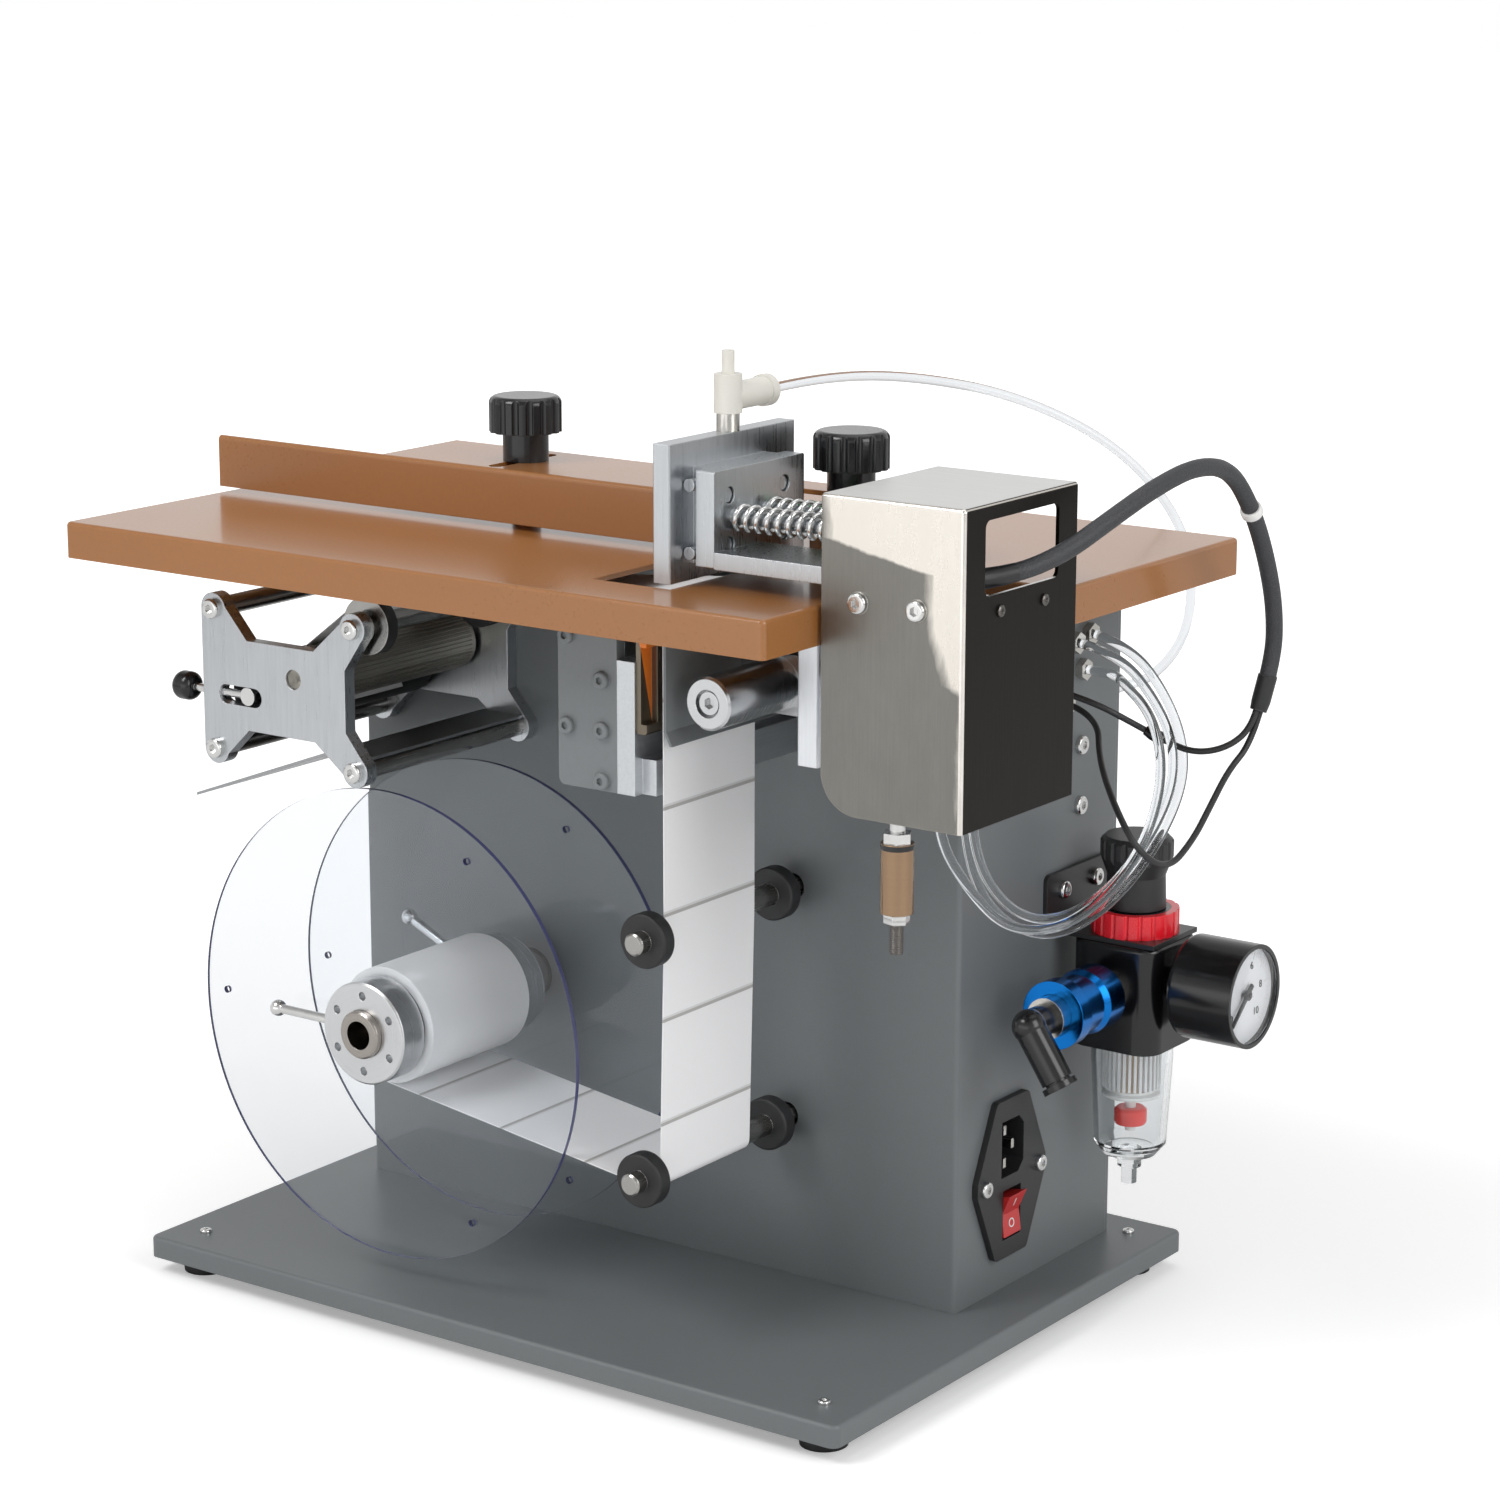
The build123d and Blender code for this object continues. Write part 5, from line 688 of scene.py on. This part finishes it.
airTube = {"diameter": 0.004, "length": 0.335, "stiffness": "medium", "route": [
    (256.4, 93, 390), (256.4, 129, 391), (266, 178, 387), (290, 222, 376), (318, 256, 354), (338, 274, 324),
    (342, 281, 296), (337, 285, 270), (325, 280, 252), (315, 265, 248.5), (314, 248, 248)]}
loopA = {"diameter": 0.004, "length": 0.256, "stiffness": "limp", "route": [
    (355, 88, 255), (355, 88, 231), (357, 97, 207), (360, 118, 189), (364, 143, 183), (370, 168, 190),
    (377, 187, 208), (381, 198, 228), (380, 200, 246), (370, 202, 262), (351, 206.5, 277), (333, 206, 280)]}
loopB = {"diameter": 0.004, "length": 0.276, "stiffness": "limp", "route": [
    (346, 97, 255), (346, 97, 229), (349, 104, 200), (353, 125, 181), (358, 153, 173), (365, 182, 182),
    (372, 203, 202), (375, 217, 223), (373, 221, 241), (365, 219, 261), (350, 217, 278.5), (333, 217, 282)]}
loopC = {"diameter": 0.004, "length": 0.261, "stiffness": "limp", "route": [
    (345, 79, 255), (345, 79, 229), (351, 94, 204), (362, 104, 188), (372, 125, 184), (384, 141, 195),
    (392, 156, 214), (393, 167, 234), (390, 172, 251), (378, 182, 263), (359, 195, 269), (346, 210, 268.5),
    (333, 212, 268)]}
headCable = {"diameter": 0.007, "length": 0.272, "stiffness": "medium", "farEnd": "fitting", "route": [
    (374, 48, 334), (388, 60, 336), (398, 81, 342), (405, 104, 353), (409, 130, 362), (411, 157, 366.5),
    (411, 183, 362), (410, 204, 343), (409, 219, 321), (407, 231, 298.5), (405, 235, 277), (402, 229, 257)]}
thinA = {"diameter": 0.0026, "length": 0.092, "stiffness": "limp", "route": [
    (402, 227.27, 257.5), (400.9, 225.1, 249.9), (395, 216.5, 243), (384, 210.5, 240.5), (371, 210, 243.5),
    (358, 206, 250), (346, 194, 259.5), (333, 192.5, 262)]}
thinB = {"diameter": 0.0026, "length": 0.209, "stiffness": "limp", "route": [
    (402, 230.73, 256.5), (400, 226.9, 243.2), (397, 215, 234.5), (399, 197, 223.5), (401, 180, 213.5),
    (402, 159, 206), (399, 141, 216), (386, 145, 230.5), (362, 172, 242), (346, 198.5, 252), (333, 200, 255)]}

cordPiece("air_line", "both", "air_tube", clearTube, airTube)
cordPiece("loop_a", "both", "tube_loop_a", clearTube, loopA)
cordPiece("loop_b", "both", "tube_loop_b", clearTube, loopB)
cordPiece("loop_c", "both", "tube_loop_c", clearTube, loopC)
cableLine = followed(headCable["route"])
wovenSleeve = sleeved("woven_sleeve", (0.03, 0.031, 0.034))
cableBoot = sleeveOn("cable_boot", "head", mattBlack, cableLine, -15,
                     [(0, 3.55), (0.4, 3.95), (11, 3.9), (14.4, 3.5), (14.9, 3.1), (14.9, 0.4), (0, 0.4)])
cableRelief = sleeveOn("cable_relief", "head", mattBlack, cableLine, 0,
                       [(0, 0.4), (0, 4.4), (1.5, 4.6), (4, 4.5), (5, 4.1), (16, 3.75), (22, 3.55), (22, 0.4)])
whiteTie = sleeveOn("white_tie", "head", whiteNylon, cableLine, 175,
                    [(0, 3.3), (0, 4.1), (0.5, 4.4), (3.5, 4.4), (4, 4.1), (4, 3.3)])
cordPiece("head_lead", "head", "head_cable", wovenSleeve, headCable)
thinLine = followed(thinA["route"])
blackClip = sleeveOn("black_clip", None, glossBlack, thinLine, 46,
                     [(0, 1.2), (0, 2.3), (1, 2.9), (6, 2.6), (9, 1.9), (9, 1.2)], 12)
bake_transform(blackClip)
cordPiece("thin_lead_a", "both", "thin_cable_a", mattBlack, thinA)
cordPiece("thin_lead_b", "both", "thin_cable_b", mattBlack, thinB)

print("repeated small parts")


class Grower:
    # a Geometry Nodes tree whose named inputs are set once, then grown into one plain mesh
    def __init__(self, name, inputs):
        self.tree = bpy.data.node_groups.new(name, "GeometryNodeTree")
        for label, (kind, value) in inputs.items():
            socket = self.tree.interface.new_socket(label, in_out="INPUT", socket_type="NodeSocket" + kind)
            if value is not None:
                socket.default_value = value
        self.tree.interface.new_socket("Grown", in_out="OUTPUT", socket_type="NodeSocketGeometry")
        self.given = self.tree.nodes.new("NodeGroupInput")
        self.result = self.tree.nodes.new("NodeGroupOutput")

    def add(self, kind, values, settings=None, output=0):
        node = self.tree.nodes.new(kind)
        for key, value in (settings or {}).items():
            setattr(node, key, value)
        for key, value in values.items():
            if isinstance(value, str):
                value = self.given.outputs[value]
            if isinstance(value, bpy.types.NodeSocket):
                self.tree.links.new(value, node.inputs[key])
            else:
                node.inputs[key].default_value = value
        return node.outputs[output]

    def sum(self, operation, one, two):
        return self.add("ShaderNodeMath", {0: one, 1: two}, {"operation": operation})

    def finish(self, shape, smoothed):
        shape = self.add("GeometryNodeSetShadeSmooth", {0: shape, "Shade Smooth": smoothed})
        shape = self.add("GeometryNodeRealizeInstances", {0: shape})
        shape = self.add("GeometryNodeSetMaterial", {0: shape, "Material": "Finish"})
        self.tree.links.new(shape, self.result.inputs[0])

    def mesh(self, finish, **values):
        holder = bpy.data.objects.new("holder", bpy.data.meshes.new("holder"))
        bpy.context.scene.collection.objects.link(holder)
        grown = holder.modifiers.new("grown", "NODES")
        grown.node_group = self.tree
        values["Finish"] = finish
        for item in self.tree.interface.items_tree:
            if item.item_type == "SOCKET" and item.in_out == "INPUT" and item.name in values:
                grown[item.identifier] = values[item.name]
        mesh = bpy.data.meshes.new_from_object(holder.evaluated_get(bpy.context.evaluated_depsgraph_get()))
        bpy.data.objects.remove(holder)
        return mesh


# bars set round the Z axis or along a line, each with its own turn
barRing = Grower("bar_ring", {
    "Count": ("Int", 12), "Radius": ("Float", 0.01), "From": ("Float", 0.0), "Sweep": ("Float", 2 * math.pi),
    "Step": ("Vector", (0, 0, 0)), "Size": ("Vector", (0.001, 0.001, 0.001)), "Finish": ("Material", None)})
index = barRing.add("GeometryNodeInputIndex", {})
angle = barRing.sum("ADD", "From", barRing.sum("MULTIPLY", "Sweep", barRing.sum("DIVIDE", index, "Count")))
ringX = barRing.sum("MULTIPLY", "Radius", barRing.add("ShaderNodeMath", {0: angle}, {"operation": "COSINE"}))
ringY = barRing.sum("MULTIPLY", "Radius", barRing.add("ShaderNodeMath", {0: angle}, {"operation": "SINE"}))
ringPlace = barRing.add("ShaderNodeCombineXYZ", {0: ringX, 1: ringY})
shift = barRing.add("ShaderNodeVectorMath", {0: "Step", "Scale": index}, {"operation": "SCALE"})
points = barRing.add("GeometryNodePoints", {
    "Count": "Count", "Position": barRing.add("ShaderNodeVectorMath", {0: ringPlace, 1: shift})})
bars = barRing.add("GeometryNodeInstanceOnPoints", {
    0: points, "Instance": barRing.add("GeometryNodeMeshCube", {"Size": "Size"}),
    "Rotation": barRing.add("ShaderNodeCombineXYZ", {2: angle})})
barRing.finish(bars, False)

# a round wire wound round the Z axis
coil = Grower("coil", {
    "Turns": ("Float", 8.0), "Radius": ("Float", 0.004), "Length": ("Float", 0.05), "Wire": ("Float", 0.001),
    "Sides": ("Int", 10), "Steps": ("Int", 28), "Finish": ("Material", None)})
winding = coil.add("GeometryNodeCurveSpiral", {
    "Resolution": "Steps", "Rotations": "Turns", "Start Radius": "Radius", "End Radius": "Radius",
    "Height": "Length"})
section = coil.add("GeometryNodeCurvePrimitiveCircle", {"Resolution": "Sides", "Radius": "Wire"})
coil.finish(coil.add("GeometryNodeCurveToMesh", {0: winding, 1: section, "Fill Caps": True}), True)


def placed(origin, along, right):
    # the frame whose Z axis runs along a direction from a point in millimetres
    up = Vector(along).normalized()
    right = Vector(right).normalized()
    return Matrix.Translation(spot(*origin)) @ Matrix((right, up.cross(right), up)).transposed().to_4x4()


def joined(name, body, meshes):
    # (mesh, matrix) pairs made one plain piece at the origin
    whole = bmesh.new()
    materials = []
    for mesh, matrix in meshes:
        mesh.transform(matrix)
        for face in mesh.polygons:
            face.material_index = len(materials)
        whole.from_mesh(mesh)
        materials.append(mesh.materials[0])
    data = bpy.data.meshes.new(name)
    whole.to_mesh(data)
    whole.free()
    for material in materials:
        data.materials.append(material)
    piece = bpy.data.objects.new(name, data)
    bpy.context.scene.collection.objects.link(piece)
    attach(piece, body)
    return piece


def figures(texts, size, finish, thick):
    # flat figures as one mesh each, text to place in the XY plane
    made = []
    for text, (x, y) in texts:
        curve = bpy.data.curves.new("figure", "FONT")
        curve.body = text
        curve.size = size
        curve.align_x = "CENTER"
        curve.align_y = "CENTER"
        curve.extrude = thick
        holder = bpy.data.objects.new("figure", curve)
        bpy.context.scene.collection.objects.link(holder)
        mesh = bpy.data.meshes.new_from_object(holder.evaluated_get(bpy.context.evaluated_depsgraph_get()))
        bpy.data.objects.remove(holder)
        mesh.materials.clear()
        mesh.materials.append(finish)
        mesh.transform(Matrix.Translation((x, y, 0)))
        made.append(mesh)
    return made


gauge = {"centre": (408.5, 213, 143), "from": 225, "sweep": -270, "rim": 0.0178, "minor": 50, "major": 10,
         "minorSize": (0.0018, 0.00028, 0.00016), "majorSize": (0.0034, 0.0006, 0.00018), "figures": 0.0118,
         "size": 0.0042, "lens": (411.6, 213, 143)}
inkThick = 0.00005
dialInk = moulded("dial_ink", (0.015, 0.015, 0.016), 0.5)
dialFrame = placed(gauge["centre"], (1, 0, 0), (0, 1, 0))
dialParts = []
onDial = Matrix.Translation((0, 0, 0.00012))
for count, size in ((gauge["minor"], gauge["minorSize"]), (gauge["major"], gauge["majorSize"])):
    sweep = math.radians(gauge["sweep"]) * (count + 1) / count
    mesh = barRing.mesh(dialInk, Count=count + 1, Radius=gauge["rim"] - size[0] / 2,
                        From=math.radians(gauge["from"]), Sweep=sweep, Size=size)
    dialParts.append((mesh, dialFrame @ onDial))
labels = []
for step in range(0, gauge["major"] + 1, 2):
    angle = math.radians(gauge["from"] + gauge["sweep"] * step / gauge["major"])
    labels.append((str(step), (gauge["figures"] * math.cos(angle), gauge["figures"] * math.sin(angle))))
for mesh in figures(labels, gauge["size"], dialInk, inkThick):
    dialParts.append((mesh, dialFrame @ onDial))
joined("dial_marks", "machine", dialParts)
turnedPiece("gauge_lens", "machine", gaugeGlass, gauge["lens"], (1, 0, 0),
            [(0.05, 0), (19.5, 0), (19.5, 0.8), (18.9, 1.1), (0.05, 1.1)], 64)

filterTan = moulded("filter_tan", (0.58, 0.36, 0.19), 0.6)
bowl = {"axis": (357, 213), "filter": 104.9, "pleats": 34, "pleatRing": 0.0106, "pleat": (0.0032, 0.0011, 0.0186),
        "baffle": 91.6, "stem": 76, "float": 79}
filterAxis = placed((*bowl["axis"], bowl["filter"]), (0, 0, 1), (1, 0, 0))
pleats = barRing.mesh(filterTan, Count=bowl["pleats"], Radius=bowl["pleatRing"], Size=bowl["pleat"])
joined("filter_pleats", "machine", [(pleats, filterAxis)])
turnedPiece("bowl_baffle", "machine", whiteNylon, (*bowl["axis"], bowl["baffle"]), (0, 0, 1),
            [(0.05, 0), (11.6, 0), (12.2, 0.6), (12.2, 1.6), (10.4, 2.4), (10.4, 3.3), (0.05, 3.3)])
turnedPiece("bowl_stem", "machine", whiteNylon, (*bowl["axis"], bowl["stem"]), (0, 0, 1),
            [(0.05, 0), (2.2, 0), (2.2, 15.5), (0.05, 15.5)], 20)
turnedPiece("drain_float", "machine", moulded("red_float", (0.75, 0.03, 0.02), 0.35),
            (*bowl["axis"], bowl["float"]), (0, 0, 1),
            [(2.3, 0), (6.2, 0), (6.8, 1), (6.8, 6), (5.6, 7), (2.3, 7)])

spring = {"left": 274.5, "right": 331.0, "wire": 1.1, "radius": 4.4, "turns": 11.1,
          "rods": ((46, 348.5), (67, 348.5)), "travel": 2.0}
springLength = spring["right"] - spring["left"] - 2 * spring["wire"]
coils = []
for y, z in spring["rods"]:
    mesh = coil.mesh(brightSteel, Turns=spring["turns"], Radius=spring["radius"] / 1000, Length=springLength / 1000,
                     Wire=spring["wire"] / 1000)
    coils.append((mesh, placed((spring["left"] + spring["wire"], y, z), (1, 0, 0), (0, 1, 0))))
springPiece = joined("spring_coils", "head", coils)
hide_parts("press_springs")
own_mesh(springPiece)

stud = {"axis": (353, 41), "thread": 192.2, "nut": 203.2, "band": 232.2}
thread = coil.mesh(darkSteel, Turns=17.0, Radius=0.00235, Length=0.0145, Wire=0.00036, Sides=6, Steps=20)
joined("stud_thread", "cylinder_rod",
       [(thread, placed((*stud["axis"], stud["thread"]), (0, 0, 1), (1, 0, 0)))])
turnedPiece("barrel_band", "cylinder_rod", blackPaint, (*stud["axis"], stud["band"]), (0, 0, 1),
            [(5.8, 0), (6.45, 0), (6.45, 1.9), (6.0, 2.35), (5.8, 2.35)])
turnedPiece("barrel_nut", "cylinder_rod", brightSteel, (*stud["axis"], stud["nut"]), (0, 0, 1),
            [(2.6, 0), (4.6, 0), (5.1, 0.5), (5.1, 3.6), (4.6, 4.25), (2.6, 4.25)], 6)

rockerInk = moulded("rocker_ink", (0.85, 0.85, 0.84), 0.4)
rocker = {"size": 0.0055, "marks": (("I", (333.37, 161, 53.97), (0.92, 0, -0.393)),
                                    ("O", (332.06, 161, 44.76), (0.992, 0, 0.125)))}
rockerMarks = []
for text, origin, facing in rocker["marks"]:
    for mesh in figures([(text, (0, 0))], rocker["size"], rockerInk, inkThick):
        rockerMarks.append((mesh, placed(origin, facing, (0, 1, 0))))
joined("rocker_marks", "rocker_switch", rockerMarks)

coverPins = ((389, 52.7, 324.5), (389, 83.4, 323.8))
for pin in coverPins:
    turnedPiece(f"cover_pin_{pin[1]:.0f}", "head", darkSteel, pin, (1, 0, 0),
                [(0.05, -0.4), (2.3, -0.4), (2.3, 0.7), (1.8, 1.1), (0.9, 1.1), (0.9, 0.6), (0.05, 0.6)], 20)

print("finishes of single faces")
second("lower_guide", rubber, lambda p, n: math.hypot(p.x - 246, p.z - 85) > 5)
second("upper_guide", rubber, lambda p, n: math.hypot(p.x - 248.4, p.z - 183) > 5)
second("pinch_carriage", glossBlack, lambda p, n: p.x < 21.8)
second("spacer_rods", rubber, lambda p, n: math.hypot(p.x - 110, p.z - 290.5) > 5 and p.z > 270 and p.x > 90
       and p.y > 22.5)
second("spacer_rods", brightSteel, lambda p, n: p.y < 14)
second("label_sensor", orangeStrip, lambda p, n: p.z > 285 and p.y < 30 and p.x > 245)
second("reel_spindle", lathed("far_collar", (0.62, 0.63, 0.64), reelCentre),
       lambda p, n: p.y > 91 and math.hypot(p.x - 113, p.z - 123.5) > 10.5)
# the discs' rim faces take the opaque dark blue painted shade
second("near_disc", discEdgeShade, lambda p, n: abs(n.y) < 0.5)
second("far_disc", discEdgeShade, lambda p, n: abs(n.y) < 0.5)
second("stop_post", blackPaint, lambda p, n: p.y > 76.5)
# lit copy on the cover's top faces, near-black shaded copy on its side and inner faces, bright copy on its bend:
# painted light, painted shade and painted highlight
second("head_cover", coverTopLit, lambda p, n: n.z > 0.9)
second("head_cover", coverSideShaded, lambda p, n: n.x > 0.9 and p.x > 388.5)
second("head_cover", coverSideShaded, lambda p, n: p.y > 29 and n.z < 0.9 and p.x < 388.5)
second("head_cover", coverFoldHighlight, lambda p, n: p.x > 387 and p.y < 29.6 and 0.05 < n.x < 0.99)
second("head_cover", brightSteel, lambda p, n: p.y < 27.9)
second("cylinder_rod", brightSteel, lambda p, n: p.z > 234.8)
second("cylinder_rod", darkSteel, lambda p, n: p.z < 207.4)
second("regulator_body", filterTan, lambda p, n: p.z < 114.9)
second("pressure_gauge", paper("dial_card", (0.86, 0.86, 0.87), 0.4),
       lambda p, n: n.x > 0.9 and abs(p.x - 408.5) < 0.1 and math.hypot(p.y - 213, p.z - 143) > 1.2)
second("air_fitting", nickel, lambda p, n: p.z < 384.5 and math.hypot(p.x - 256.4, p.y - 67) < 6.5)
second("power_inlet", nickel, lambda p, n: abs(p.x - 328) < 4 and math.hypot(p.y - 161, p.z - 78) < 9.5
       and abs(n.x) < 1.1 and min(math.hypot(p.y - y, p.z - z) for y, z in ((158, 71), (158, 85), (164, 78))) < 2.4)

print("done")
